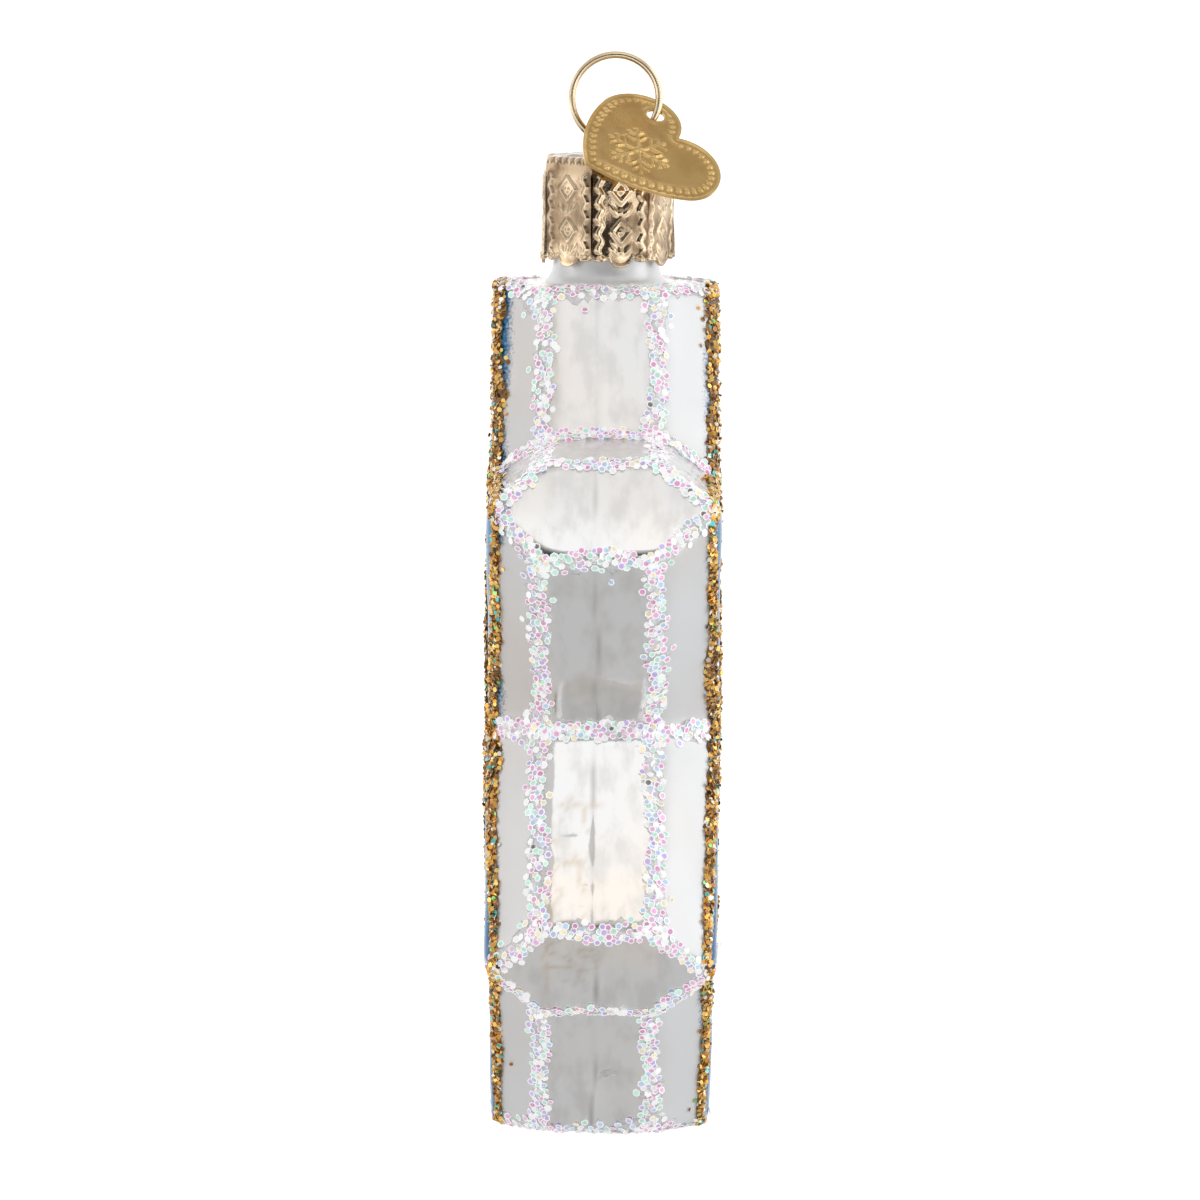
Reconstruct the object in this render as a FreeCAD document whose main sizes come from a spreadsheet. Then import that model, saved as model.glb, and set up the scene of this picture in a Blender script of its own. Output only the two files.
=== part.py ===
"""Blown glass six-pointed star ornament with a petalled metal cap, a sprung wire hanger and a heart tag.

Frame: millimetres, +Z up. The origin is the hanging point, the inside of the top of the wire loop, where a
hook bears. The star lies in a plane parallel to XZ, with its two painted faces towards -Y and +Y.

The star is two overlapping triangles of glass. Each has a flat middle band round its rim and a bevel on
either side of it. Five tips are cut square where the face's own points end, so that each is closed by a
six-sided facet, and the top tip is cut a little lower, where the neck for the cap stands.
"""
import FreeCAD, Part
import math
import os
import Sketcher
from FreeCAD import Placement, Rotation, Vector

# Every driving dimension, in millimetres or degrees: alias, value, what it is.
SIZES = [
    ("star_reach", 45.0, "centre of the star to the facet of a tip"),
    ("top_cut", 3.6, "how much nearer to the centre the top tip is cut, for the neck"),
    ("bevel_inset", 4.5, "how far a bevel comes in from the middle band to the face"),
    ("band_half", 5.6, "half the width of the middle band"),
    ("face_half", 11.3, "half the thickness of the glass at the points of its faces"),
    ("face_dome", 0.6, "rise of each face from its points to its centre"),
    ("glass_wall", 0.9, "thickness of the glass"),
    ("neck_outer", 10.6, "outer diameter of the neck"),
    ("neck_bore", 8.8, "bore of the neck"),
    ("neck_length", 12.2, "top facet to the rim of the neck"),
    ("neck_foot", 0.9, "flare where the neck meets the facet"),
    ("glitter_depth", 0.35, "height of the glued glitter over the glass"),
    ("gold_on_bevel", 1.1, "width of the gold outline on the bevel, across the thickness"),
    ("gold_on_face", 1.3, "width of the gold outline on the face"),
    ("gold_line", 1.5, "width of the gold lines that cross the face"),
    ("white_line", 1.8, "width of the pale glitter lines along the middle band"),
    ("tip_frame", 1.0, "width of the pale glitter frame on a tip facet"),
    ("valley_line", 1.7, "width of the pale glitter line along a valley"),
    ("cap_gap", 0.5, "clearance between the neck and the flats inside the cap"),
    ("cap_seat", 0.2, "clearance between the rim of the neck and the cap"),
    ("cap_sheet", 0.3, "thickness of the cap's sheet metal"),
    ("cap_fold", 0.9, "outer radius of the fold round the top of the cap"),
    ("cap_stand", 1.6, "top facet to the lowest lobe of the cap"),
    ("cap_turn", -13.0, "turn of the cap about the neck"),
    ("slit_width", 0.25, "gap between two petals of the cap"),
    ("slit_top", 1.6, "top of the cap to the top of a slit"),
    ("lobe_radius", 1.15, "radius of the lobe at the middle of a petal's end"),
    ("lobe_drop", 1.0, "how far that lobe hangs below the petal's own end"),
    ("wire_gauge", 0.75, "diameter of the hanger's wire"),
    ("loop_bore", 8.0, "inner diameter of the wire loop"),
    ("loop_lean", 0.8, "offset of the loop to one side of the neck's axis"),
    ("loop_stand", 0.95, "top of the cap to the lowest point of the loop's circle"),
    ("wrap_near", 56.0, "how far the loop wraps below its centre on the side it leans from"),
    ("wrap_far", 72.0, "how far the loop wraps below its centre on the side it leans to"),
    ("leg_half", 1.15, "half the distance between the legs at the cap"),
    ("leg_straight", 4.0, "straight length of a leg below the top of the cap"),
    ("leg_bend", 4.0, "radius of the bend where a leg splays"),
    ("leg_splay", 14.0, "angle that a leg splays outwards"),
    ("leg_length", 15.0, "splayed length of a leg"),
    ("hole_gap", 0.28, "clearance round a leg in the cap"),
    ("tag_sheet", 0.35, "thickness of the tag"),
    ("tag_half", 7.9, "half the width of the tag"),
    ("tag_notch", 11.7, "height of the notch above the tip"),
    ("tag_lobe", 4.3, "radius of a lobe of the tag"),
    ("tag_flank", 15.0, "radius of the flank between a lobe and the tip"),
    ("tag_hole", 1.9, "diameter of the tag's hole"),
    ("tag_hole_side", 3.9, "tag's middle line to its hole"),
    ("tag_hole_height", 11.6, "height of the hole above the tip"),
    ("tag_angle", -23.0, "place of the tag on the loop, from its side, upwards"),
]
PETALS = 7
TRIANGLE = 3
HEXAGON = 6
TURN = 360.0

# The tag hangs tipped against the cap: these are the directions of its right side and of its front.
TAG_RIGHT = Vector(0.569, 0.552, -0.610)
TAG_FRONT = Vector(0.579, 0.258, 0.774)

doc = FreeCAD.newDocument("star_ornament")


def make_sheet():
    """The spreadsheet of driving dimensions."""
    sheet = doc.addObject("Spreadsheet::Sheet", "sizes")
    for row, (alias, value, meaning) in enumerate(SIZES, start=1):
        sheet.set(f"A{row}", meaning)
        sheet.set(f"B{row}", str(value))
        sheet.setAlias(f"B{row}", alias)
    doc.recompute()
    return sheet


sizes = make_sheet()


def size(alias):
    """A driving dimension's value, for a starting shape that the constraints then hold."""
    return float(sizes.get(alias))


def ref(text):
    """Turns {alias} in an expression into a reference to the sheet's cell."""
    return text.replace("{", "sizes.").replace("}", "")


# Lengths that follow from the driving ones, as expressions.
FACE_APOTHEM = ref("({star_reach} / 2)")
BAND_APOTHEM = ref("({star_reach} / 2 + {bevel_inset})")
TOP_REACH = ref("({star_reach} - {top_cut})")
BEVEL_RUN = ref("({face_half} - {band_half})")
BEVEL_INSET = ref("{bevel_inset}")
BEVEL_SLANT = f"sqrt({BEVEL_RUN} ^ 2 + {BEVEL_INSET} ^ 2)"
DOME_RADIUS = ref("(({star_reach} ^ 2 + {face_dome} ^ 2) / (2 * {face_dome}))")
NECK_TOP = ref(f"({TOP_REACH} + {{neck_length}})")
CAP_TOP = ref(f"({NECK_TOP} + {{cap_seat}} + {{cap_sheet}})")
CAP_DROP = ref("({loop_bore} + {wire_gauge} + {loop_stand})")
CAP_HEIGHT = ref(f"({CAP_TOP} - {TOP_REACH} - {{cap_stand}})")
STAR_DROP = f"({CAP_DROP} + {CAP_TOP})"
ROOM = ref("(4 * {star_reach})")
TIP_ROOM = f"(2 * (2 * {BAND_APOTHEM} - {TOP_REACH}))"

STAND_UP = Rotation(Vector(1, 0, 0), 90)


def in_star_plane(angle):
    """The rotation that carries +X round to the given angle in the star's plane, +Z being 90 degrees."""
    return Rotation(Vector(0, -1, 0), angle)


def make(kind, name, rotation=None, at=("0", "0", "0"), **properties):
    """Adds an object whose properties are expressions in text, or plain values where they are not text."""
    made = doc.addObject(kind, name)
    for key, value in properties.items():
        if isinstance(value, str):
            made.setExpression(key, ref(value))
        else:
            setattr(made, key, value)
    if rotation is not None:
        made.Placement = Placement(Vector(), rotation)
    for axis, text in zip("xyz", at):
        if text != "0":
            made.setExpression(f"Placement.Base.{axis}", ref(text))
    return made


def common(name, *shapes):
    return make("Part::MultiCommon", name, Shapes=list(shapes))


def fuse(name, *shapes):
    return make("Part::MultiFuse", name, Shapes=list(shapes))


def cut(name, base, tool):
    return make("Part::Cut", name, Base=base, Tool=tool)


def hang(shape, label):
    """Names a finished piece of the star and lowers it from the star's own centre to where it hangs."""
    shape.Label = label
    shape.setExpression("Placement.Base.y", ref("-{loop_lean}"))
    shape.setExpression("Placement.Base.z", f"-{STAR_DROP}")
    return shape


# ---------------------------------------------------------------- the glass star

def triangle_plate(name, up, stations):
    """A triangular plate lofted through (place across the thickness, apothem) stations, both expressions."""
    turn = Rotation(Vector(0, 0, 1), 90 if up else -90)
    sections = [
        make("Part::RegularPolygon", f"{name}_section", STAND_UP.multiply(turn), ("0", place, "0"),
             Polygon=TRIANGLE, Circumradius=f"2 * {apothem}")
        for place, apothem in stations
    ]
    return make("Part::Loft", name, Sections=sections, Solid=True, Ruled=True)


def star_plate(name, stations):
    """Two triangular plates, one point up and one point down."""
    return fuse(name, triangle_plate(f"{name}_up", True, stations),
                triangle_plate(f"{name}_down", False, stations))


def hexagon_prism(name, apothem):
    """A six-sided prism right through the star, a flat towards each tip."""
    return make("Part::Prism", name, STAND_UP, ("0", f"{ROOM} / 2", "0"),
                Polygon=HEXAGON, Circumradius=f"{apothem} / cos(30)", Height=ROOM)


def below(name, height):
    """Everything in the star's neighbourhood that lies under a height."""
    return make("Part::Box", name, None, (f"-{ROOM} / 2", f"-{ROOM} / 2", f"{height} - {ROOM}"),
                Length=ROOM, Width=ROOM, Height=ROOM)


def beyond(name, side, distance):
    """Everything on one side of the star, further from its middle plane than a distance."""
    start = f"{distance}" if side > 0 else f"-({distance}) - {ROOM}"
    return make("Part::Box", name, None, (f"-{ROOM} / 2", start, f"-{ROOM} / 2"),
                Length=ROOM, Width=ROOM, Height=ROOM)


def slab(name, middle, width):
    """A slab across the thickness, about a place and of a width."""
    return make("Part::Box", name, None, (f"-{ROOM} / 2", f"{middle} - {width} / 2", f"-{ROOM} / 2"),
                Length=ROOM, Width=width, Height=ROOM)


def radial_bar(name, angle, start, width):
    """A bar from a distance outwards along an angle of the star, between the gold lines of its faces."""
    turn = in_star_plane(angle)
    out = turn.multVec(Vector(1, 0, 0))
    side = turn.multVec(Vector(0, 0, 1))
    half_depth = ref("({face_half} - {gold_on_bevel})")
    place = [f"{o:.9f} * {start} - {s:.9f} * {width} / 2" for o, s in zip(out, side)]
    return make("Part::Box", name, turn, (place[0], f"-{half_depth}", place[2]),
                Length=ref("{star_reach}"), Width=f"2 * {half_depth}", Height=width)


def star_stations(grow):
    """Stations of a bevelled triangle whose band and bevels are all moved outwards by the expression grow."""
    band = f"({BAND_APOTHEM} + {grow})"
    band_edge = ref(f"({{band_half}} + {grow} * ({BEVEL_SLANT} - {BEVEL_RUN}) / {BEVEL_INSET})")
    outside = ref("({face_half} + 3 * {face_dome} + {glitter_depth})")
    narrow = ref(f"({BAND_APOTHEM} - ({outside} - {{band_half}}) * {BEVEL_INSET} / {BEVEL_RUN}"
                 f" + {grow} * {BEVEL_SLANT} / {BEVEL_RUN})")
    return [(f"-{outside}", narrow), (f"-{band_edge}", band), (band_edge, band), (outside, narrow)]


def star_solid(name, grow):
    """The bevelled star with its tips cut square and its faces domed, every face moved out by grow."""
    domes = [
        make("Part::Sphere", f"{name}_dome", None,
             ("0", ref(f"{side} * ({{face_half}} + {{face_dome}} - {DOME_RADIUS})"), "0"),
             Radius=f"{DOME_RADIUS} + {grow}")
        for side in (-1, 1)
    ]
    return common(name, star_plate(f"{name}_plate", star_stations(grow)),
                  hexagon_prism(f"{name}_tips", ref(f"({{star_reach}} + {grow})")),
                  below(f"{name}_top", f"({TOP_REACH} + {grow})"), *domes)


def make_glass():
    """The hollow star with its neck: one blown piece. Returns it with its outer form."""
    neck = make("Part::Cylinder", "neck_tube", None, ("0", "0", f"{TOP_REACH} - {{glass_wall}}"),
                Radius="{neck_outer} / 2", Height="{neck_length} + {glass_wall}")
    foot = make("Part::Cone", "neck_flare", None, ("0", "0", TOP_REACH),
                Radius1="{neck_outer} / 2 + {neck_foot}", Radius2="{neck_outer} / 2", Height="{neck_foot}")
    form = fuse("glass_form", star_solid("star_outside", "0"), neck, foot)
    # the bore runs from well inside the hollow star to past the neck's lip
    bore = make("Part::Cylinder", "neck_inside", None, ("0", "0", f"{TOP_REACH} - 2 * {{glass_wall}}"),
                Radius="{neck_bore} / 2", Height="{neck_length} + 3 * {glass_wall}")
    hollow = fuse("glass_hollow", star_solid("star_inside", ref("(-{glass_wall})")), bore)
    return hang(cut("glass", form, hollow), "glass_star"), form


# ---------------------------------------------------------------- the glued glitter

def make_gold(skin):
    """On each face, a gold outline round the star and the six gold lines of its inner hexagon."""
    made = []
    far = ref("(2 * {face_half})")
    inset = f"({FACE_APOTHEM} - {ref('{gold_on_face}')})"
    inner = star_plate("face_inside_outline", [(f"-{far}", inset), (far, inset)])
    for side, word in ((-1, "front"), (1, "back")):
        edge = beyond(f"edge_{word}", side, ref("{face_half} - {gold_on_bevel}"))
        made.append(hang(common(f"gold_rim_{word}", skin, cut(f"rim_{word}", edge, inner)),
                         f"gold_glitter_outline_{word}"))
        ring = cut(f"ring_{word}",
                   hexagon_prism(f"ring_{word}_outer", f"({FACE_APOTHEM} + {ref('{gold_line}')} / 2)"),
                   hexagon_prism(f"ring_{word}_inner", f"({FACE_APOTHEM} - {ref('{gold_line}')} / 2)"))
        face_side = beyond(f"face_side_{word}", side, ref("{face_half} - {gold_on_bevel}"))
        made.append(hang(common(f"gold_ring_{word}", skin, ring, inner, face_side),
                         f"gold_glitter_hexagon_{word}"))
    return made


def make_band_lines(skin):
    """The pale lines along both edges of the middle band, between one tip's frame and the next."""
    made = []
    for side, word in ((-1, "front"), (1, "back")):
        strip = slab(f"strip_{word}", ref(f"({side} * {{band_half}})"), ref("{white_line}"))
        limit = hexagon_prism(f"strip_limit_{word}", ref("({star_reach} - {tip_frame})"))
        top = below(f"strip_top_{word}", ref(f"({TOP_REACH} - {{tip_frame}})"))
        made.append(hang(common(f"white_strip_{word}", skin, strip, limit, top),
                         f"white_glitter_line_{word}"))
    return made


def make_tip_frames(skin):
    """The pale frame round each tip facet, and the one round the facet under the neck."""
    tips = {"upper_right": 30, "lower_right": -30, "bottom": -90, "lower_left": -150, "upper_left": 150,
            "top": 90}
    opening = star_plate("frame_opening", star_stations(ref("(-{tip_frame})")))
    frames = cut("frames", skin, opening)
    made = []
    for word, angle in tips.items():
        reach = TOP_REACH if word == "top" else ref("{star_reach}")
        block = radial_bar(f"block_{word}", angle, f"({reach} - {ref('{tip_frame}')})", TIP_ROOM)
        made.append(hang(common(f"frame_{word}", frames, block), f"white_glitter_tip_{word}"))
    return made


def make_valley_lines(skin):
    """The pale line across the thickness in each valley between two tips, clear of the other lines."""
    valleys = {"right": 0, "top_right": 60, "top_left": 120, "left": 180, "bottom_left": 240,
               "bottom_right": 300}
    crossings = fuse("crossings", *[slab(f"crossing_{word}", ref(f"({side} * {{band_half}})"),
                                         ref("{white_line}")) for side, word in ((-1, "front"), (1, "back"))])
    uncrossed = cut("uncrossed", skin, crossings)
    made = []
    for word, angle in valleys.items():
        bar = radial_bar(f"bar_{word}", angle, "0", ref("{valley_line}"))
        made.append(hang(common(f"valley_{word}", uncrossed, bar), f"white_glitter_valley_{word}"))
    return made


# ---------------------------------------------------------------- sketches in a body

def new_body(name):
    body = doc.addObject("PartDesign::Body", name)
    body.Label = name
    return body


def plane_of(body, role):
    return next(o for o in body.Origin.OriginFeatures if o.Role == role)


def new_sketch(body, name, role, offset=None):
    """A sketch on one of the body's own origin planes."""
    sketch = body.newObject("Sketcher::SketchObject", name)
    sketch.AttachmentSupport = [(plane_of(body, role), "")]
    sketch.MapMode = "FlatFace"
    if offset is not None:
        sketch.AttachmentOffset = offset
    return sketch


def hold(sketch, kind, *where, value, text):
    """A dimension whose value follows an expression."""
    index = sketch.addConstraint(Sketcher.Constraint(kind, *where, value))
    sketch.setExpression(f"Constraints[{index}]", ref(text))


def draw_circle(sketch, x, y, radius):
    """A circle whose centre and radius are (value, expression) pairs."""
    item = sketch.addGeometry(Part.Circle(Vector(x[0], y[0], 0), Vector(0, 0, 1), radius[0]), False)
    hold(sketch, "DistanceX", -1, 1, item, 3, value=x[0], text=x[1])
    hold(sketch, "DistanceY", -1, 1, item, 3, value=y[0], text=y[1])
    hold(sketch, "Radius", item, value=radius[0], text=radius[1])


def draw_polygon(sketch, corners):
    """A closed outline through corners given as ((value, expression), (value, expression))."""
    count = len(corners)
    for k in range(count):
        start, end = corners[k], corners[(k + 1) % count]
        sketch.addGeometry(Part.LineSegment(Vector(start[0][0], start[1][0], 0),
                                            Vector(end[0][0], end[1][0], 0)), False)
    for k in range(count):
        sketch.addConstraint(Sketcher.Constraint("Coincident", k, 2, (k + 1) % count, 1))
    for k, (x, y) in enumerate(corners):
        hold(sketch, "DistanceX", -1, 1, k, 1, value=x[0], text=x[1])
        hold(sketch, "DistanceY", -1, 1, k, 1, value=y[0], text=y[1])


def feature(body, kind, name, **properties):
    """A feature of a body. Properties are expressions in text, or plain values where they are not text."""
    made = body.newObject(kind, name)
    for key, value in properties.items():
        if isinstance(value, str):
            made.setExpression(key, ref(value))
        else:
            setattr(made, key, value)
    doc.recompute()
    return made


# ---------------------------------------------------------------- the cap

def heptagon(radius_value, radius_text):
    """The corners of the cap's seven-sided outline, one of them on +X."""
    return [((radius_value * math.cos(math.radians(TURN * k / PETALS)),
              f"{radius_text} * cos({TURN} * {k} / {PETALS})"),
             (radius_value * math.sin(math.radians(TURN * k / PETALS)),
              f"{radius_text} * sin({TURN} * {k} / {PETALS})"))
            for k in range(PETALS)]


def edges_at(made, level):
    """The names of a feature's edges that lie flat at a height."""
    return [f"Edge{n + 1}" for n, edge in enumerate(made.Shape.Edges)
            if all(abs(v.Z - level) < 1e-6 for v in edge.Vertexes)]


def make_cap():
    """Seven petals folded down from a disc: slit from each other, and lobed at their ends."""
    body = new_body("ornament_cap")
    half_petal = TURN / PETALS / 2
    squeeze = math.cos(math.radians(half_petal))
    inner_flat = size("neck_outer") / 2 + size("cap_gap")
    inner_text = ref(f"(({{neck_outer}} / 2 + {{cap_gap}}) / cos({half_petal}))")
    outer_text = ref(f"(({{neck_outer}} / 2 + {{cap_gap}} + {{cap_sheet}}) / cos({half_petal}))")
    outline = new_sketch(body, "cap_outline", "XY_Plane")
    draw_polygon(outline, heptagon((inner_flat + size("cap_sheet")) / squeeze, outer_text))
    shell = feature(body, "PartDesign::Pad", "cap_blank", Profile=outline, Reversed=True,
                    Length=ref(f"{CAP_HEIGHT} - {{lobe_drop}}"))
    feature(body, "PartDesign::Fillet", "cap_folded", Base=(shell, edges_at(shell, 0)), Radius="{cap_fold}")
    inside = new_sketch(body, "cap_inside", "XY_Plane", Placement(Vector(), Rotation()))
    inside.setExpression("AttachmentOffset.Base.z", ref("-{cap_sheet}"))
    draw_polygon(inside, heptagon(inner_flat / squeeze, inner_text))
    hollow = feature(body, "PartDesign::Pocket", "cap_hollow", Profile=inside, Length=CAP_HEIGHT)
    feature(body, "PartDesign::Fillet", "cap_folded_inside",
            Base=(hollow, edges_at(hollow, -size("cap_sheet"))), Radius="{cap_fold} - {cap_sheet}")

    slit = new_sketch(body, "slit_outline", "XY_Plane")
    slit.setExpression("AttachmentOffset.Base.z", ref("-{slit_top}"))
    near = (inner_flat * squeeze, ref(f"({{neck_outer}} / 2) * cos({half_petal})"))
    far = (inner_flat * 2, ref("{neck_outer}"))
    side = (size("slit_width") / 2, ref("({slit_width} / 2)"))
    draw_polygon(slit, [(near, (-side[0], f"-{side[1]}")), (far, (-side[0], f"-{side[1]}")),
                        (far, side), (near, side)])
    slot = feature(body, "PartDesign::Pocket", "slit", Profile=slit, Length=CAP_HEIGHT)
    slits = feature(body, "PartDesign::PolarPattern", "slits", Originals=[slot],
                    Axis=(body.Origin.OriginFeatures[2], [""]), Angle=TURN, Occurrences=PETALS)
    body.Tip = slits
    doc.recompute()

    lobe = new_sketch(body, "lobe_outline", "YZ_Plane",
                      Placement(Vector(), Rotation(Vector(0, 1, 0), half_petal)))
    flat = ref("({neck_outer} / 2 + {cap_gap})")
    lobe.setExpression("AttachmentOffset.Base.x", f"{flat} * sin({half_petal})")
    lobe.setExpression("AttachmentOffset.Base.z", f"{flat} * cos({half_petal})")
    height = size("lobe_radius") - (size("neck_length") + size("cap_seat") + size("cap_sheet"))
    draw_circle(lobe, (0.0, "0"), (height + size("cap_stand"), ref(f"{{lobe_radius}} - {CAP_HEIGHT}")),
                (size("lobe_radius"), "{lobe_radius}"))
    tongue = feature(body, "PartDesign::Pad", "lobe", Profile=lobe, Length="{cap_sheet}")
    lobes = feature(body, "PartDesign::PolarPattern", "lobes", Originals=[tongue],
                    Axis=(body.Origin.OriginFeatures[2], [""]), Angle=TURN, Occurrences=PETALS)
    body.Tip = lobes
    doc.recompute()

    holes = new_sketch(body, "leg_holes", "XY_Plane")
    across = size("leg_half")
    radius = (size("wire_gauge") / 2 + size("hole_gap"), "{wire_gauge} / 2 + {hole_gap}")
    for sign in (-1, 1):
        angle = math.radians(90 - size("cap_turn"))
        draw_circle(holes, (sign * across * math.cos(angle), f"{sign} * {{leg_half}} * cos(90 - {{cap_turn}})"),
                    (sign * across * math.sin(angle), f"{sign} * {{leg_half}} * sin(90 - {{cap_turn}})"),
                    radius)
    feature(body, "PartDesign::Pocket", "leg_hole", Profile=holes, Length="2 * {cap_sheet}", Midplane=True)
    body.Placement = Placement(Vector(), Rotation(Vector(0, 0, 1), size("cap_turn")))
    body.setExpression("Placement.Base.y", ref("-{loop_lean}"))
    body.setExpression("Placement.Base.z", f"-{CAP_DROP}")
    return body


# ---------------------------------------------------------------- the hanger

def draw_hanger_side(body, name, side, wrap_alias):
    """One side of the wire, from the top of the loop round to the end of a sprung leg.

    The loop's circle, an opposite bend that brings the wire upright, a straight leg, the bend of the splay
    and the splayed leg follow one another tangentially.
    """
    path = new_sketch(body, name, "YZ_Plane")
    ring = size("loop_bore") / 2 + size("wire_gauge") / 2
    wrap = math.radians(size(wrap_alias))
    leg = side * size("leg_half") - size("loop_lean")
    drop = size("loop_bore") + size("wire_gauge") + size("loop_stand")
    splay = math.radians(size("leg_splay"))
    centre = Vector(0, -size("loop_bore") / 2, 0)
    bend = (ring * math.cos(wrap) - side * leg) / (1 - math.cos(wrap))
    out = Vector(side * math.cos(wrap), -math.sin(wrap), 0)
    shoulder = centre + out * (ring + bend)
    joint = centre + out * ring
    upright = Vector(leg, shoulder.y, 0)
    knee = Vector(leg, -drop - size("leg_straight"), 0)
    hub = knee + Vector(side * size("leg_bend"), 0, 0)
    bent = hub + Vector(-side * math.cos(splay), -math.sin(splay), 0) * size("leg_bend")
    end = bent + Vector(side * math.sin(splay), -math.cos(splay), 0) * size("leg_length")

    def arc(middle, start, finish, away):
        """The arc from start to finish that passes on the given side of its own middle."""
        half = middle + away.normalize() * (start - middle).Length
        return Part.Arc(start, half, finish)

    top = centre + Vector(0, ring, 0)
    items = [
        arc(centre, top, joint, (top - centre) + (joint - centre) + Vector(side * ring, 0, 0)),
        arc(shoulder, joint, upright, (joint - shoulder) + (upright - shoulder)),
        Part.LineSegment(upright, knee),
        arc(hub, knee, bent, (knee - hub) + (bent - hub)),
        Part.LineSegment(bent, end),
    ]
    for item in items:
        path.addGeometry(item, False)

    def end_near(index, point):
        """Which end of an item, 1 or 2, lies at a point."""
        return 1 if (path.getPoint(index, 1) - point).Length < (path.getPoint(index, 2) - point).Length else 2

    for first, second, point in ((0, 1, joint), (1, 2, upright), (2, 3, knee), (3, 4, bent)):
        path.addConstraint(Sketcher.Constraint("Tangent", first, end_near(first, point),
                                               second, end_near(second, point)))
    path.addConstraint(Sketcher.Constraint("Vertical", 2))
    hold(path, "DistanceX", -1, 1, 0, 3, value=0.0, text="0")
    hold(path, "DistanceY", -1, 1, 0, 3, value=centre.y, text="-{loop_bore} / 2")
    hold(path, "DistanceX", -1, 1, 0, end_near(0, top), value=0.0, text="0")
    hold(path, "DistanceY", -1, 1, 0, end_near(0, top), value=top.y, text="{wire_gauge} / 2")
    hold(path, "DistanceY", -1, 1, 0, end_near(0, joint), value=joint.y,
         text=f"-{{loop_bore}} / 2 - ({{loop_bore}} + {{wire_gauge}}) / 2 * sin({{{wrap_alias}}})")
    hold(path, "DistanceX", -1, 1, 2, end_near(2, knee), value=leg, text=f"{side} * {{leg_half}} - {{loop_lean}}")
    hold(path, "DistanceY", -1, 1, 2, end_near(2, knee), value=knee.y, text=f"-{CAP_DROP} - {{leg_straight}}")
    hold(path, "Radius", 3, value=size("leg_bend"), text="{leg_bend}")
    hold(path, "DistanceY", -1, 1, 3, end_near(3, bent), value=bent.y,
         text=f"-{CAP_DROP} - {{leg_straight}} - {{leg_bend}} * sin({{leg_splay}})")
    hold(path, "Distance", 4, value=size("leg_length"), text="{leg_length}")
    return path


def make_hanger():
    """One sprung wire: a loop over the cap and two legs that splay inside the neck."""
    body = new_body("hanger_wire")
    section = new_sketch(body, "wire_section", "XZ_Plane")
    draw_circle(section, (0.0, "0"), (size("wire_gauge") / 2, "{wire_gauge} / 2"),
                (size("wire_gauge") / 2, "{wire_gauge} / 2"))
    for side, alias in ((1, "wrap_far"), (-1, "wrap_near")):
        path = draw_hanger_side(body, f"wire_path_{alias[5:]}", side, alias)
        doc.recompute()
        feature(body, "PartDesign::AdditivePipe", f"wire_{alias[5:]}", Profile=section,
                Spine=(path, [f"Edge{n + 1}" for n in range(len(path.Shape.Edges))]))
    return body


# ---------------------------------------------------------------- the tag

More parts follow.
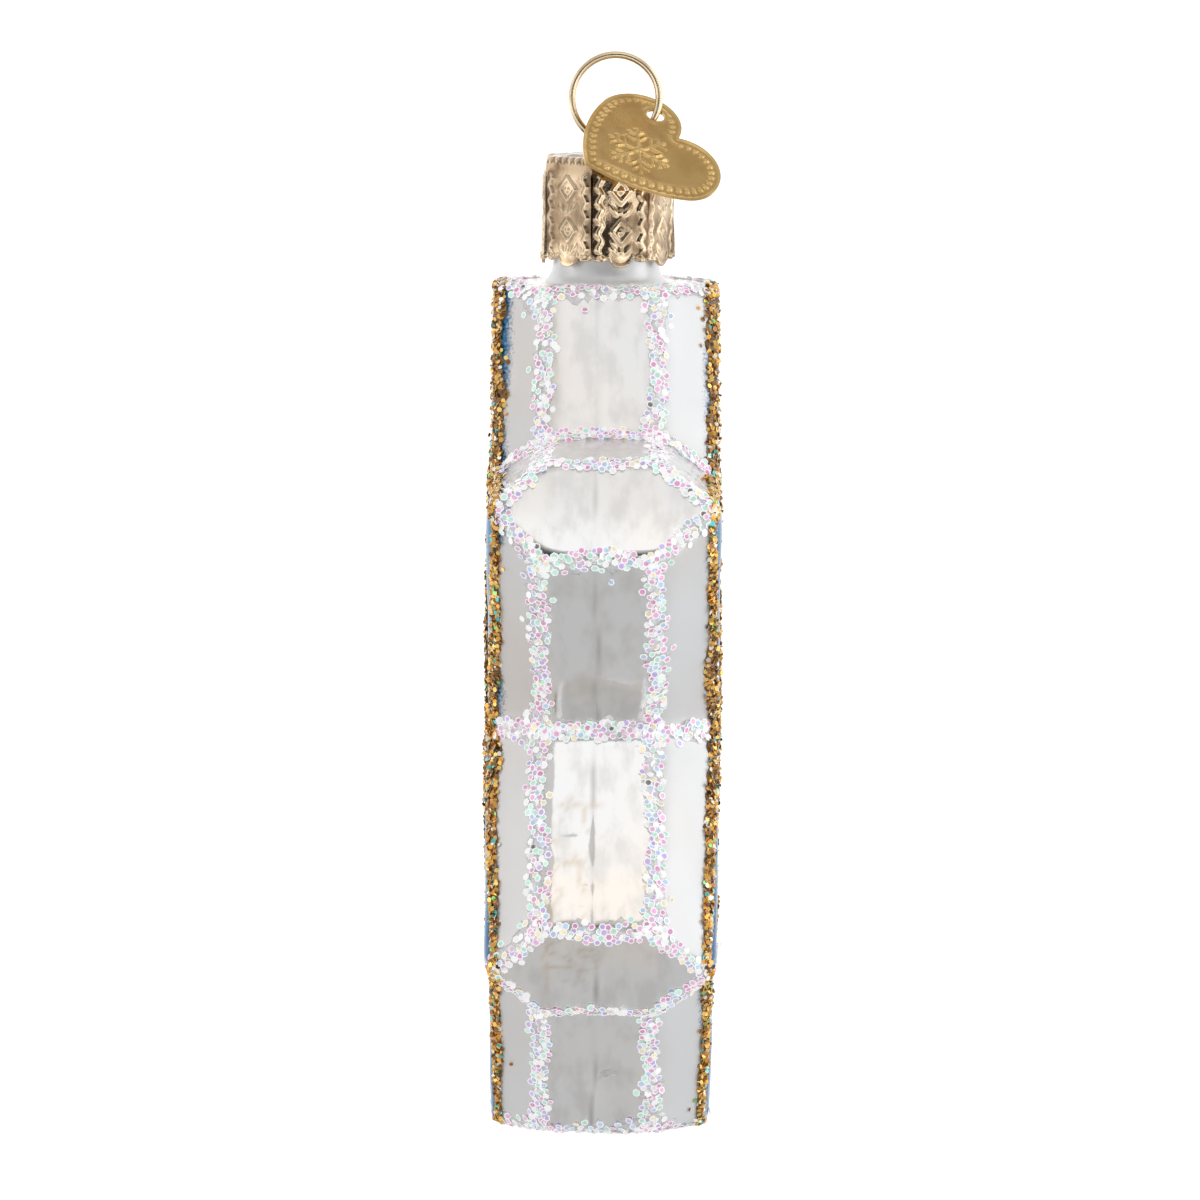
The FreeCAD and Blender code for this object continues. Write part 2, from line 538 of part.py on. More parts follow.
def make_tag():
    """A thin heart of four arcs, two lobes and two flanks, with a hole in one lobe that the loop runs through."""
    body = new_body("heart_tag")
    heart = new_sketch(body, "heart_outline", "XY_Plane")
    half, notch, lobe, flank = (size(f"tag_{word}") for word in ("half", "notch", "lobe", "flank"))
    tip, dip = Vector(0, 0, 0), Vector(0, notch, 0)
    joints = []
    for side in (1, -1):
        # a flank's circle passes through the tip and touches the lobe's circle from outside it
        hub = Vector(side * (half - lobe), notch - math.sqrt(lobe ** 2 - (half - lobe) ** 2), 0)
        along = (flank ** 2 - (flank - lobe) ** 2 + hub.Length ** 2) / (2 * hub.Length)
        across = Vector(-side * hub.y, side * hub.x, 0) / hub.Length
        base = hub / hub.Length * along + across * math.sqrt(flank ** 2 - along ** 2)
        touch = hub + (hub - base) / (hub - base).Length * lobe
        belly = base + ((tip + touch) / 2 - base).normalize() * flank
        heart.addGeometry(Part.Arc(touch, hub + Vector(0, lobe, 0), dip), False)
        heart.addGeometry(Part.Arc(tip, belly, touch), False)
        joints.append(touch)

    def end_near(index, point):
        return 1 if (heart.getPoint(index, 1) - point).Length < (heart.getPoint(index, 2) - point).Length else 2

    for side, first, touch in zip((1, -1), (0, 2), joints):
        heart.addConstraint(Sketcher.Constraint("Tangent", first, end_near(first, touch),
                                                first + 1, end_near(first + 1, touch)))
        hold(heart, "DistanceX", -1, 1, first, 3, value=side * (half - lobe),
             text=f"{side} * ({{tag_half}} - {{tag_lobe}})")
        hold(heart, "Radius", first, value=lobe, text="{tag_lobe}")
        hold(heart, "Radius", first + 1, value=flank, text="{tag_flank}")
    heart.addConstraint(Sketcher.Constraint("Coincident", 0, end_near(0, dip), 2, end_near(2, dip)))
    heart.addConstraint(Sketcher.Constraint("Coincident", 1, end_near(1, tip), 3, end_near(3, tip)))
    heart.addConstraint(Sketcher.Constraint("Coincident", 1, end_near(1, tip), -1, 1))
    hold(heart, "DistanceX", -1, 1, 0, end_near(0, dip), value=0.0, text="0")
    hold(heart, "DistanceY", -1, 1, 0, end_near(0, dip), value=notch, text="{tag_notch}")
    feature(body, "PartDesign::Pad", "heart_sheet", Profile=heart, Length="{tag_sheet}", Midplane=True)
    eye = new_sketch(body, "tag_hole_outline", "XY_Plane")
    draw_circle(eye, (-size("tag_hole_side"), "-{tag_hole_side}"), (size("tag_hole_height"), "{tag_hole_height}"),
                (size("tag_hole") / 2, "{tag_hole} / 2"))
    feature(body, "PartDesign::Pocket", "tag_eye", Profile=eye, Length="2 * {tag_sheet}", Midplane=True)

    # the hole is centred on the wire of the loop, and the tag leans from there
    up = TAG_FRONT.cross(TAG_RIGHT)
    lean = Rotation(TAG_RIGHT, up, TAG_FRONT, "ZXY")
    ring = (size("loop_bore") + size("wire_gauge")) / 2
    angle = math.radians(size("tag_angle"))
    on_wire = Vector(0, ring * math.cos(angle), ring * math.sin(angle) - size("loop_bore") / 2)
    hole = lean.multVec(Vector(-size("tag_hole_side"), size("tag_hole_height"), 0))
    body.Placement = Placement(on_wire - hole, lean)
    return body


# ---------------------------------------------------------------- build, test and write

def main():
    glass, form = make_glass()
    skin = cut("glitter_skin", star_solid("star_glitter", ref("{glitter_depth}")), form)
    pieces = [glass, *make_gold(skin), *make_band_lines(skin), *make_tip_frames(skin),
              *make_valley_lines(skin), make_cap(), make_hanger(), make_tag()]
    doc.recompute()
    faults = [o.Label for o in doc.Objects if {"Invalid", "Error"} & set(o.State)]
    if faults:
        raise RuntimeError(f"these objects failed: {faults}")
    os.makedirs("parts", exist_ok=True)
    for piece in pieces:
        shape = piece.Shape
        if shape.isNull() or not shape.isValid() or not shape.Solids:
            raise RuntimeError(f"{piece.Label} is not a valid solid")
        shape.exportStep(os.path.join("parts", piece.Label + ".step"))
        box = shape.BoundBox
        print(f"{piece.Label:34s} {len(shape.Solids):2d} solids {shape.Volume:10.2f} mm3  "
              f"x {box.XMin:.2f}..{box.XMax:.2f}  y {box.YMin:.2f}..{box.YMax:.2f}  "
              f"z {box.ZMin:.2f}..{box.ZMax:.2f}")


main()
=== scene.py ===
"""The finished looks of the mouth-blown star ornament.

All shapes are worked out in millimetres as whole numpy arrays and put into metres when a mesh is filled.
Star shapes are worked out about the star's centre, with X across a side tip, Y through the thickness
and Z towards the neck.
"""

import math

import bpy
import numpy as np
from mathutils import Matrix, Vector


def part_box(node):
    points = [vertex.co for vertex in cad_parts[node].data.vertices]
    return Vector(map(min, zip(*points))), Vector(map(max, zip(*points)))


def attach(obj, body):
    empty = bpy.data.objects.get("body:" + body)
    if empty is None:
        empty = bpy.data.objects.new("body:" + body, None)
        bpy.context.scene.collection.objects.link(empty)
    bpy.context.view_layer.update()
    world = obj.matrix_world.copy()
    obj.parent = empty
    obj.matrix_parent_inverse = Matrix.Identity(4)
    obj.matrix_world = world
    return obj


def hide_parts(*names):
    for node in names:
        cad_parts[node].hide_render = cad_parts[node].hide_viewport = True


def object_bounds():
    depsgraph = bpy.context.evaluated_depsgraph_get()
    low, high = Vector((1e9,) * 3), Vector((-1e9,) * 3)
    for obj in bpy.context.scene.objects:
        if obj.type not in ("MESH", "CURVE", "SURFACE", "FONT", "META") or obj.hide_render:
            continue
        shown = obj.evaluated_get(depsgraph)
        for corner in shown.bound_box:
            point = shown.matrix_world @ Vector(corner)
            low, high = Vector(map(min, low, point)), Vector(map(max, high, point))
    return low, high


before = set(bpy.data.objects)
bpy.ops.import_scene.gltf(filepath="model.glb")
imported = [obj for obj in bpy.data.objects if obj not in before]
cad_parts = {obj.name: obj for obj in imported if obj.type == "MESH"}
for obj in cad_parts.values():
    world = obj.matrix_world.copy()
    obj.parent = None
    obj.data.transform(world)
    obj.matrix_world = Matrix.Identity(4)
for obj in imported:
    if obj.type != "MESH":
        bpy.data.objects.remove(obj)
CAD_LOW, CAD_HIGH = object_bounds()

MM = 0.001

# the star, in millimetres
STAR_REACH = 45.0
TOP_REACH = 41.4
FACE_APOTHEM = 22.5
BAND_APOTHEM = 27.0
BAND_HALF = 5.6
FACE_HALF = 11.3
FACE_DOME = 0.05
BEVEL_SLOPE = (BAND_APOTHEM - FACE_APOTHEM) / (FACE_HALF - BAND_HALF)
BEVEL_STRETCH = math.hypot(1.0, BEVEL_SLOPE)
EDGE_ROUND = 1.1
VALLEY_ROUND = 1.3
LEAST_TIP_HALF = 1.3
NECK_RADIUS = 5.3
NECK_LENGTH = 12.2
NECK_FLARE = 0.9

# the cap, the wire and the tag, in millimetres
PETALS = 7
CAP_APOTHEM = 6.1
CAP_TURN = -13.0
CAP_TOP = -9.7
CAP_PETAL_END = -19.8
CAP_SHEET = 0.3
CAP_FOLD = 0.9
SLIT_TOP = 1.6
SLIT_HALF = 0.12
LOBE_RADIUS = 1.15
LOBE_DROP = 1.0
WIRE_RADIUS = 0.375
LOOP_BORE = 8.0
LOOP_STAND = 0.95
LOOP_LEAN = 0.8
WRAP_FAR = 72.0
WRAP_NEAR = 56.0
LEG_HALF = 1.15
LEG_STRAIGHT = 4.0
LEG_BEND = 4.0
LEG_SPLAY = 14.0
LEG_LENGTH = 15.0
TAG_SHEET = 0.35
TAG_HALF = 7.9
TAG_NOTCH = 11.7
TAG_LOBE = 4.3
TAG_FLANK = 15.0
TAG_HOLE = 0.95
TAG_HOLE_AT = (-3.9, 11.6)
TAG_ANGLE = -23.0
TAG_RIGHT = (0.569, 0.552, -0.610)
TAG_FRONT = (0.579, 0.258, 0.774)

SIN60 = math.sin(math.radians(60.0))
COS30 = math.cos(math.radians(30.0))

GLASS_LOW, GLASS_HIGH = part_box("glass_star")
STAR_CENTRE = np.array([
    (GLASS_LOW.x + GLASS_HIGH.x) / 2 / MM,
    (GLASS_LOW.y + GLASS_HIGH.y) / 2 / MM,
    GLASS_LOW.z / MM + STAR_REACH,
])


# ---------------------------------------------------------------- meshes from arrays

def fill_mesh(name, points, quads, triangles, smooth=True, sharp_angle=None, centre=None):
    """A mesh object from points in millimetres and arrays of quads and triangles."""
    if centre is not None:
        points = points + centre
    mesh = bpy.data.meshes.new(name)
    quads = np.asarray(quads, dtype=np.int32).reshape(-1, 4)
    triangles = np.asarray(triangles, dtype=np.int32).reshape(-1, 3)
    mesh.vertices.add(len(points))
    mesh.vertices.foreach_set("co", (points * MM).astype(np.float32).ravel())
    corners = np.concatenate([quads.ravel(), triangles.ravel()])
    mesh.loops.add(len(corners))
    mesh.loops.foreach_set("vertex_index", corners)
    starts = np.concatenate([
        np.arange(len(quads)) * 4,
        len(quads) * 4 + np.arange(len(triangles)) * 3,
    ]).astype(np.int32)
    mesh.polygons.add(len(starts))
    mesh.polygons.foreach_set("loop_start", starts)
    mesh.polygons.foreach_set("use_smooth", np.full(len(starts), smooth))
    mesh.update(calc_edges=True)
    if sharp_angle is not None:
        mesh.set_sharp_from_angle(angle=math.radians(sharp_angle))
    made = bpy.data.objects.new(name, mesh)
    bpy.context.scene.collection.objects.link(made)
    return made


def grid_quads(rows, columns, wrap, flip=False, start=0):
    """Index quads of a grid of rows by columns, closed round the columns when wrap is true."""
    across = columns if wrap else columns - 1
    r, c = np.meshgrid(np.arange(rows - 1), np.arange(across), indexing="ij")
    after = (c + 1) % columns
    quads = np.stack([
        r * columns + c,
        (r + 1) * columns + c,
        (r + 1) * columns + after,
        r * columns + after,
    ], axis=-1).reshape(-1, 4) + start
    return quads[:, ::-1] if flip else quads


def shell_quads(rows, columns, wrap=False):
    """Quads of a closed sheet: a front grid, a back grid behind it and the walls round their rims."""
    count = rows * columns
    front = grid_quads(rows, columns, wrap)
    back = grid_quads(rows, columns, wrap, flip=True, start=count)
    index = np.arange(count).reshape(rows, columns)
    rims = [index[0, ::-1], index[-1, :]]
    if not wrap:
        rims += [index[:, 0], index[::-1, -1]]
    walls = []
    for rim in rims:
        line = np.append(rim, rim[0]) if wrap else rim
        walls.append(np.stack([line[:-1], line[1:], line[1:] + count, line[:-1] + count], axis=-1))
    return np.concatenate([front, back] + [w[:, ::-1] for w in walls])


def add_values(made, name, values):
    """One number per vertex, for a material to read."""
    layer = made.data.attributes.new(name, "FLOAT", "POINT")
    layer.data.foreach_set("value", np.asarray(values, dtype=np.float32).ravel())


def add_colours(made, name, colours):
    """One colour per vertex, for a material to read."""
    layer = made.data.attributes.new(name, "FLOAT_COLOR", "POINT")
    full = np.concatenate([colours, np.ones((len(colours), 1))], axis=1)
    layer.data.foreach_set("color", full.astype(np.float32).ravel())


def finish_piece(made, body, materials, nodes=()):
    """Gives a piece its materials, its CAD body and the nodes it stands for."""
    for material in materials:
        made.data.materials.append(material)
    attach(made, body)
    if nodes:
        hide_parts(*nodes)
    return made


def smooth_step(value, low, high):
    """0 below low, 1 above high and a smooth rise between."""
    t = np.clip((value - low) / (high - low), 0.0, 1.0)
    return t * t * (3.0 - 2.0 * t)


def ripple(points, wavelength, seed, count=7):
    """A soft random unevenness: the mean of sine waves of about one wavelength in random directions."""
    random = np.random.default_rng(seed)
    total = 0.0
    for _ in range(count):
        way = random.normal(size=3)
        way /= np.linalg.norm(way)
        length = wavelength * random.uniform(0.7, 1.5)
        total = total + np.sin(points @ way * (2 * math.pi / length) + random.uniform(0, 2 * math.pi))
    return total / math.sqrt(count)


# ---------------------------------------------------------------- the star's surface

def soft_max(a, b, width):
    """The larger of two levels, rounded over where they are closer than width."""
    near = np.maximum(width - np.abs(a - b), 0.0) / width
    return np.maximum(a, b) + near * near * width * 0.25


def triangle_level(points, turn):
    """Height above a triangular plate with bevelled sides: the rounded maximum over its three sides."""
    x, y, z = points[..., 0], points[..., 1], points[..., 2]
    level = None
    for angle in (turn, turn + 120.0, turn + 240.0):
        a = math.radians(angle)
        run = x * math.cos(a) + z * math.sin(a)
        band = run - BAND_APOTHEM
        bevel = (run + (np.abs(y) - BAND_HALF) * BEVEL_SLOPE - BAND_APOTHEM) / BEVEL_STRETCH
        side = soft_max(band, bevel, EDGE_ROUND)
        level = side if level is None else soft_max(level, side, EDGE_ROUND)
    return level


def dimple(points, at, size, depth):
    """A smooth hollow or boss of a given size and depth about a place."""
    away = ((points - np.array(at)) / np.array(size)) ** 2
    return depth * np.exp(-away.sum(axis=-1))


def star_level(points):
    """Height above the blown glass: two plates joined softly, cut by the faces and the six tip planes.

    Slow waves, a mould seam and a few hollows are added to it, as blown glass has.
    """
    x, y, z = points[..., 0], points[..., 1], points[..., 2]
    up = triangle_level(points, -90.0)
    down = triangle_level(points, 90.0)
    level = -soft_max(-up, -down, VALLEY_ROUND)
    spread = (x * x + z * z) / STAR_REACH ** 2
    level = soft_max(level, np.abs(y) - FACE_HALF - FACE_DOME * (1.0 - spread), EDGE_ROUND)
    for k in range(6):
        a = math.radians(30.0 + 60.0 * k)
        reach = TOP_REACH if k == 1 else STAR_REACH
        level = soft_max(level, x * math.cos(a) + z * math.sin(a) - reach, EDGE_ROUND)
    side = np.sign(x)
    level = level + 0.05 + 0.07 * ripple(points, 11.0, 3) + 0.022 * ripple(points, 4.5, 5)
    seam_at = y + SEAM_SHIFT + 0.12 * ripple(points, 9.0, 8)
    ridge = np.exp(-(seam_at / 0.24) ** 2) * smooth_step(np.hypot(x, z), 20.0, 25.0)
    level = level - 0.12 * ridge
    wrinkled = smooth_step(-z, 6.0, 9.0) * smooth_step(z, -27.0, -22.0) * smooth_step(-y, 0.2, 1.4)
    wrinkled = wrinkled * smooth_step(y, -BAND_HALF - 1.0, -BAND_HALF + 0.5)
    level = level + 0.05 * wrinkled * ripple(points, 1.9, 14)
    near = np.stack([np.abs(x), y * np.where(side == 0, 1, side), z], axis=-1)
    for at, size, depth in HOLLOWS:
        level = level + dimple(near, at, size, depth)
    return level


# how far the seam and the pale lines lie towards the front on the sides
SEAM_SHIFT = 0.55

# hollows (positive) and bosses (negative) on the side walls, about the star's centre
HOLLOWS = (
    ((8.0, 1.1, -40.2), (2.4, 1.9, 2.4), 1.9),
    ((9.6, -3.4, -37.8), (3.0, 0.9, 3.4), 1.1),
    ((7.4, -1.2, -41.6), (2.0, 0.8, 1.8), -0.35),
    ((10.6, 4.0, -35.8), (2.6, 1.2, 2.6), 0.25),
    ((36.4, -2.2, -9.0), (5.0, 2.0, 4.5), 0.22),
    ((38.7, 0.9, -13.0), (4.0, 1.8, 3.0), -0.15),
    ((35.2, 2.9, 7.5), (3.0, 1.8, 2.6), 0.12),
    ((29.5, -0.5, 1.5), (6.0, 7.5, 6.0), 0.55),
)


def settle(points, ways):
    """Points moved along their ways onto the glass, by halving the range, and the glass's normals there."""
    low = np.full(points.shape[:-1], -5.0)
    high = np.full(points.shape[:-1], 1.5)
    for _ in range(20):
        middle = (low + high) / 2
        inside = star_level(points + ways * middle[..., None]) < 0
        low = np.where(inside, middle, low)
        high = np.where(inside, high, middle)
    settled = points + ways * low[..., None]
    step = 0.05
    slope = []
    for axis in range(3):
        shift = np.zeros(3)
        shift[axis] = step
        slope.append(star_level(settled + shift) - star_level(settled - shift))
    normals = np.stack(slope, axis=-1)
    normals /= np.linalg.norm(normals, axis=-1, keepdims=True)
    return settled, normals


def outline_corner(index, apothem):
    """Corner number index of the star's outline: valley, near tip corner and far tip corner in turn."""
    index = np.mod(index, 18)
    sector = index // 3
    kind = index % 3
    tip = np.radians(30.0 + 60.0 * sector)
    reach = np.where(sector == 1, TOP_REACH, STAR_REACH)
    half = np.maximum((apothem - reach / 2) / SIN60, LEAST_TIP_HALF)
    swing = np.where(kind == 1, -half, half)
    valley = np.radians(60.0 * sector)
    x = np.where(kind == 0, apothem / COS30 * np.cos(valley), reach * np.cos(tip) - swing * np.sin(tip))
    z = np.where(kind == 0, apothem / COS30 * np.sin(valley), reach * np.sin(tip) + swing * np.cos(tip))
    return x, z


def outline(place, apothem):
    """The point at a place along the star's outline, straight from corner to corner."""
    index = np.floor(place).astype(int)
    part = place - index
    x0, z0 = outline_corner(index, apothem)
    x1, z1 = outline_corner(index + 1, apothem)
    return x0 + (x1 - x0) * part, z0 + (z1 - z0) * part


def apothem_at(y):
    """The side walls' distance from the centre line at a depth y: level in the band, then the bevel."""
    return BAND_APOTHEM - np.maximum(np.abs(y) - BAND_HALF, 0.0) * BEVEL_SLOPE


def over_edge(points):
    """Millimetres past the painted face's edge: negative on the face, growing down the bevel."""
    x, y, z = points[..., 0], points[..., 1], points[..., 2]
    plates = []
    for turn in (-90.0, 90.0):
        runs = [x * math.cos(math.radians(turn + t)) + z * math.sin(math.radians(turn + t))
                for t in (0.0, 120.0, 240.0)]
        plates.append(np.maximum(np.maximum(runs[0], runs[1]), runs[2]))
    inset = np.minimum(plates[0], plates[1]) - FACE_APOTHEM
    return (FACE_HALF - np.abs(y)) * BEVEL_STRETCH + np.minimum(inset, 0.0)


def make_glass_star(material):
    """The hollow star's outer skin.

    Rows run from the front pole over the face, the bevel, the band and back again; columns follow the
    outline, and every point settles on the rounded level surface.
    """
    columns = []
    for corner in range(18):
        cells = 24 if corner % 3 == 1 else 38
        columns.append(corner + np.arange(cells) / cells)
    place = np.concatenate(columns)
    share = np.concatenate([np.linspace(0.04, 0.92, 24), np.linspace(0.94, 1.0, 8)])
    bevel = np.linspace(FACE_HALF, BAND_HALF, 15)[1:]
    band = np.linspace(BAND_HALF, -BAND_HALF, 27)[1:-1]
    rows = [(-1.0, s, FACE_HALF) for s in share]
    rows += [(-1.0, 1.0, y) for y in bevel]
    rows += [(-1.0 if y > 0 else 1.0, 1.0, abs(y)) for y in band]
    rows += [(1.0, 1.0, y) for y in bevel[::-1]]
    rows += [(1.0, s, FACE_HALF) for s in share[::-1]]
    side, shrink, depth = (np.array([row[i] for row in rows])[:, None] for i in range(3))
    x, z = outline(place[None, :], apothem_at(depth))
    x, z = x * shrink, z * shrink
    spread = np.hypot(x, z)
    on_face = shrink < 1.0
    dome = np.where(on_face, FACE_DOME * (1.0 - (spread / STAR_REACH) ** 2), 0.0)
    y = side * (depth + dome)
    from_edge = np.where(on_face, (1.0 - shrink) * 35.0, (FACE_HALF - depth) * BEVEL_STRETCH)
    turned = 0.5 * np.maximum(0.0, 1.0 - from_edge / 2.5)
    through = np.where(on_face, 1.0 - turned, turned) * np.ones_like(x)
    outward = 1.0 - through
    ways = np.stack([outward * x / spread, through * side, outward * z / spread], axis=-1)
    ways /= np.linalg.norm(ways, axis=-1, keepdims=True)
    skin, _ = settle(np.stack([x, y, z], axis=-1), ways)
    poles, _ = settle(np.array([[0.0, -FACE_HALF, 0.0], [0.0, FACE_HALF, 0.0]]),
                      np.array([[0.0, -1.0, 0.0], [0.0, 1.0, 0.0]]))
    count_rows, count_columns = skin.shape[:2]
    points = np.concatenate([skin.reshape(-1, 3), poles])
    quads = grid_quads(count_rows, count_columns, wrap=True)
    ring = np.arange(count_columns)
    after = (ring + 1) % count_columns
    front_pole = np.full(count_columns, len(points) - 2)
    back_pole = np.full(count_columns, len(points) - 1)
    last = (count_rows - 1) * count_columns
    fans = np.concatenate([
        np.stack([front_pole, ring, after], axis=-1),
        np.stack([back_pole, last + after, last + ring], axis=-1),
    ])
    made = fill_mesh("blown_glass_star", points, quads, fans, centre=STAR_CENTRE)
    tips = []
    for k in range(6):
        a = math.radians(30.0 + 60.0 * k)
        reach = TOP_REACH if k == 1 else STAR_REACH
        tips.append(points[:, 0] * math.cos(a) + points[:, 2] * math.sin(a) - reach)
    at_tip = smooth_step(np.max(tips, axis=0), -0.8, -0.3)
    in_band = 1.0 - smooth_step(np.abs(points[:, 1]), BAND_HALF - 0.3, BAND_HALF + 0.5)
    height = points[:, 2]
    spray = 0.1 + 1.4 * smooth_step(height, 16.0, 23.0) * smooth_step(-points[:, 1], -9.0, 5.0)
    spray = spray + 0.45 * ripple(points, 16.0, 21)
    add_values(made, "over_edge", over_edge(points) - np.clip(spray, -0.4, 1.6))
    # Painted light: on the front (-Y) side the bevels turn a darker brownish grey as painted shade, most round the
    # star's middle height. The band turns pale yellowish white as a painted reflection, a little below the middle
    # and towards the top. A slow ripple adds some random tone.
    front = smooth_step(-points[:, 1], 4.0, 6.5)
    waist = np.exp(-((height - 7.0) / 8.0) ** 2)
    cream_reflection = in_band * (0.85 * np.exp(-((height + 16.0) / 7.0) ** 2) + 0.25 * smooth_step(height, 15.0, 30.0))
    warm_shade_and_reflection = 0.35 * front + 0.6 * front * waist + 0.2 * ripple(points, 15.0, 22) + cream_reflection
    add_values(made, "warm_shade_and_reflection", np.clip(warm_shade_and_reflection, 0.0, 1.0))
    frost = smooth_step(height, 18.0, 24.0)
    add_values(made, "frost", frost)
    # Painted shade: a dark line just on the front (-Y) side of the mould seam's ridge, standing for the ridge's
    # shaded side.
    seam_at = points[:, 1] + SEAM_SHIFT + 0.12 * ripple(points, 9.0, 8)
    add_values(made, "seam", np.exp(-((seam_at + 0.14) / 0.13) ** 2) * in_band)
    # Painted shade: thin wavy lines on the front half of the band below the middle, where the glass is wrinkled,
    # turn the silver brown as shade in the folds.
    crease_shade = smooth_step(-height, 4.0, 7.0) * smooth_step(height, -27.0, -21.0)
    crease_shade = crease_shade * smooth_step(-points[:, 1], -0.6, 0.8) * in_band
    fold = np.exp(-(ripple(points, 3.4, 31) / 0.16) ** 2)
    add_values(made, "crease_shade", crease_shade * fold)
    add_values(made, "silver", np.maximum(at_tip, in_band))
    return made, material


def make_neck(material):
    """The open neck: a profile turned about the star's height, flared into the top tip."""
    height = np.concatenate([np.linspace(-0.6, 2.5, 14), np.linspace(3.2, NECK_LENGTH - 0.3, 14)])
    flare = NECK_FLARE * np.exp(-np.maximum(height, 0.0) / 0.7)
    radius = NECK_RADIUS + flare
    outer = np.stack([radius, TOP_REACH + height], axis=-1)
    lip = np.array([[NECK_RADIUS - 0.1, TOP_REACH + NECK_LENGTH], [NECK_RADIUS - 0.8, TOP_REACH + NECK_LENGTH]])
    inner = np.stack([np.full(6, NECK_RADIUS - 0.9), np.linspace(TOP_REACH + NECK_LENGTH - 0.2, TOP_REACH, 6)],
                     axis=-1)
    floor = np.array([[0.02, TOP_REACH - 0.2]])
    base = np.array([[0.02, TOP_REACH - 0.6]])
    profile = np.concatenate([base, outer, lip, inner, floor])
    angle = np.linspace(0, 2 * math.pi, 72, endpoint=False)
    r, a = np.meshgrid(profile[:, 0], angle, indexing="ij")
    h = np.repeat(profile[:, 1:], len(angle), axis=1)
    wobble = 1.0 + 0.006 * np.sin(3 * a + 0.4) + 0.004 * np.sin(5 * a + h)
    points = np.stack([r * wobble * np.cos(a), r * wobble * np.sin(a), h], axis=-1).reshape(-1, 3)
    quads = grid_quads(len(profile), len(angle), wrap=True)[:, ::-1]
    ends = np.array([np.arange(len(angle))[::-1]])
    first = np.stack([np.full(70, 0), np.arange(2, 72), np.arange(1, 71)], axis=-1)
    start = (len(profile) - 1) * len(angle)
    final = np.stack([np.full(70, start), start + np.arange(1, 71), start + np.arange(2, 72)], axis=-1)
    made = fill_mesh("blown_glass_neck", points, quads, np.concatenate([first, final]), sharp_angle=50,
                     centre=STAR_CENTRE)
    add_values(made, "over_edge", np.full(len(points), 20.0))
    add_values(made, "silver", np.full(len(points), 0.15))
    add_values(made, "frost", np.ones(len(points)))
    return made, material


# ---------------------------------------------------------------- glitter lines

FLAKE_SIDES = 6


def flake_arrays(centres, normals, radius, thickness, tilt, random):
    """Closed six-sided flakes: each lies on its normal, leant and turned at random."""
    count = len(centres)
    lean = normals + random.normal(scale=tilt, size=(count, 3))
    lean /= np.linalg.norm(lean, axis=1, keepdims=True)
    helper = np.where(np.abs(lean[:, :1]) < 0.7, np.array([[1.0, 0, 0]]), np.array([[0, 1.0, 0]]))
    across = np.cross(lean, helper)
    across /= np.linalg.norm(across, axis=1, keepdims=True)
    along = np.cross(lean, across)
    start = random.uniform(0, math.pi, size=(count, 1))
    angle = start + np.arange(FLAKE_SIDES) * (2 * math.pi / FLAKE_SIDES)
    sizes = radius * random.uniform(0.86, 1.12, size=(count, 1))
    ring = (np.cos(angle) * sizes)[..., None] * across[:, None] + (np.sin(angle) * sizes)[..., None] * along[:, None]
    lift = lean[:, None] * thickness / 2
    middle = centres[:, None]
    points = np.concatenate([middle + lift, middle + ring + lift, middle + ring - lift, middle - lift], axis=1)
    near = 1 + np.arange(FLAKE_SIDES)
    after = 1 + (np.arange(FLAKE_SIDES) + 1) % FLAKE_SIDES
    top = np.stack([np.zeros(FLAKE_SIDES, int), near, after], axis=-1)
    base = np.stack([np.full(FLAKE_SIDES, 13), after + FLAKE_SIDES, near + FLAKE_SIDES], axis=-1)
    walls = np.stack([near, near + FLAKE_SIDES, after + FLAKE_SIDES, after], axis=-1)
    offsets = (np.arange(count) * 14)[:, None, None]
    triangles = (np.concatenate([top, base])[None] + offsets).reshape(-1, 3)
    quads = (walls[None] + offsets).reshape(-1, 4)
    middle_mask = np.zeros((count, 14))
    middle_mask[:, [0, 13]] = 1.0
    return points.reshape(-1, 3), quads, triangles, middle_mask.ravel()


class Line:
    """A glued glitter line: where it runs on the star and how wide it is.

    place(run, across) gives the points and the ways along which they settle on the glass.
    """

    def __init__(self, name, node, length, width, place, closed):
        self.name = name
        self.node = node
        self.length = length
        self.width = width
        self.place = place
        self.closed = closed


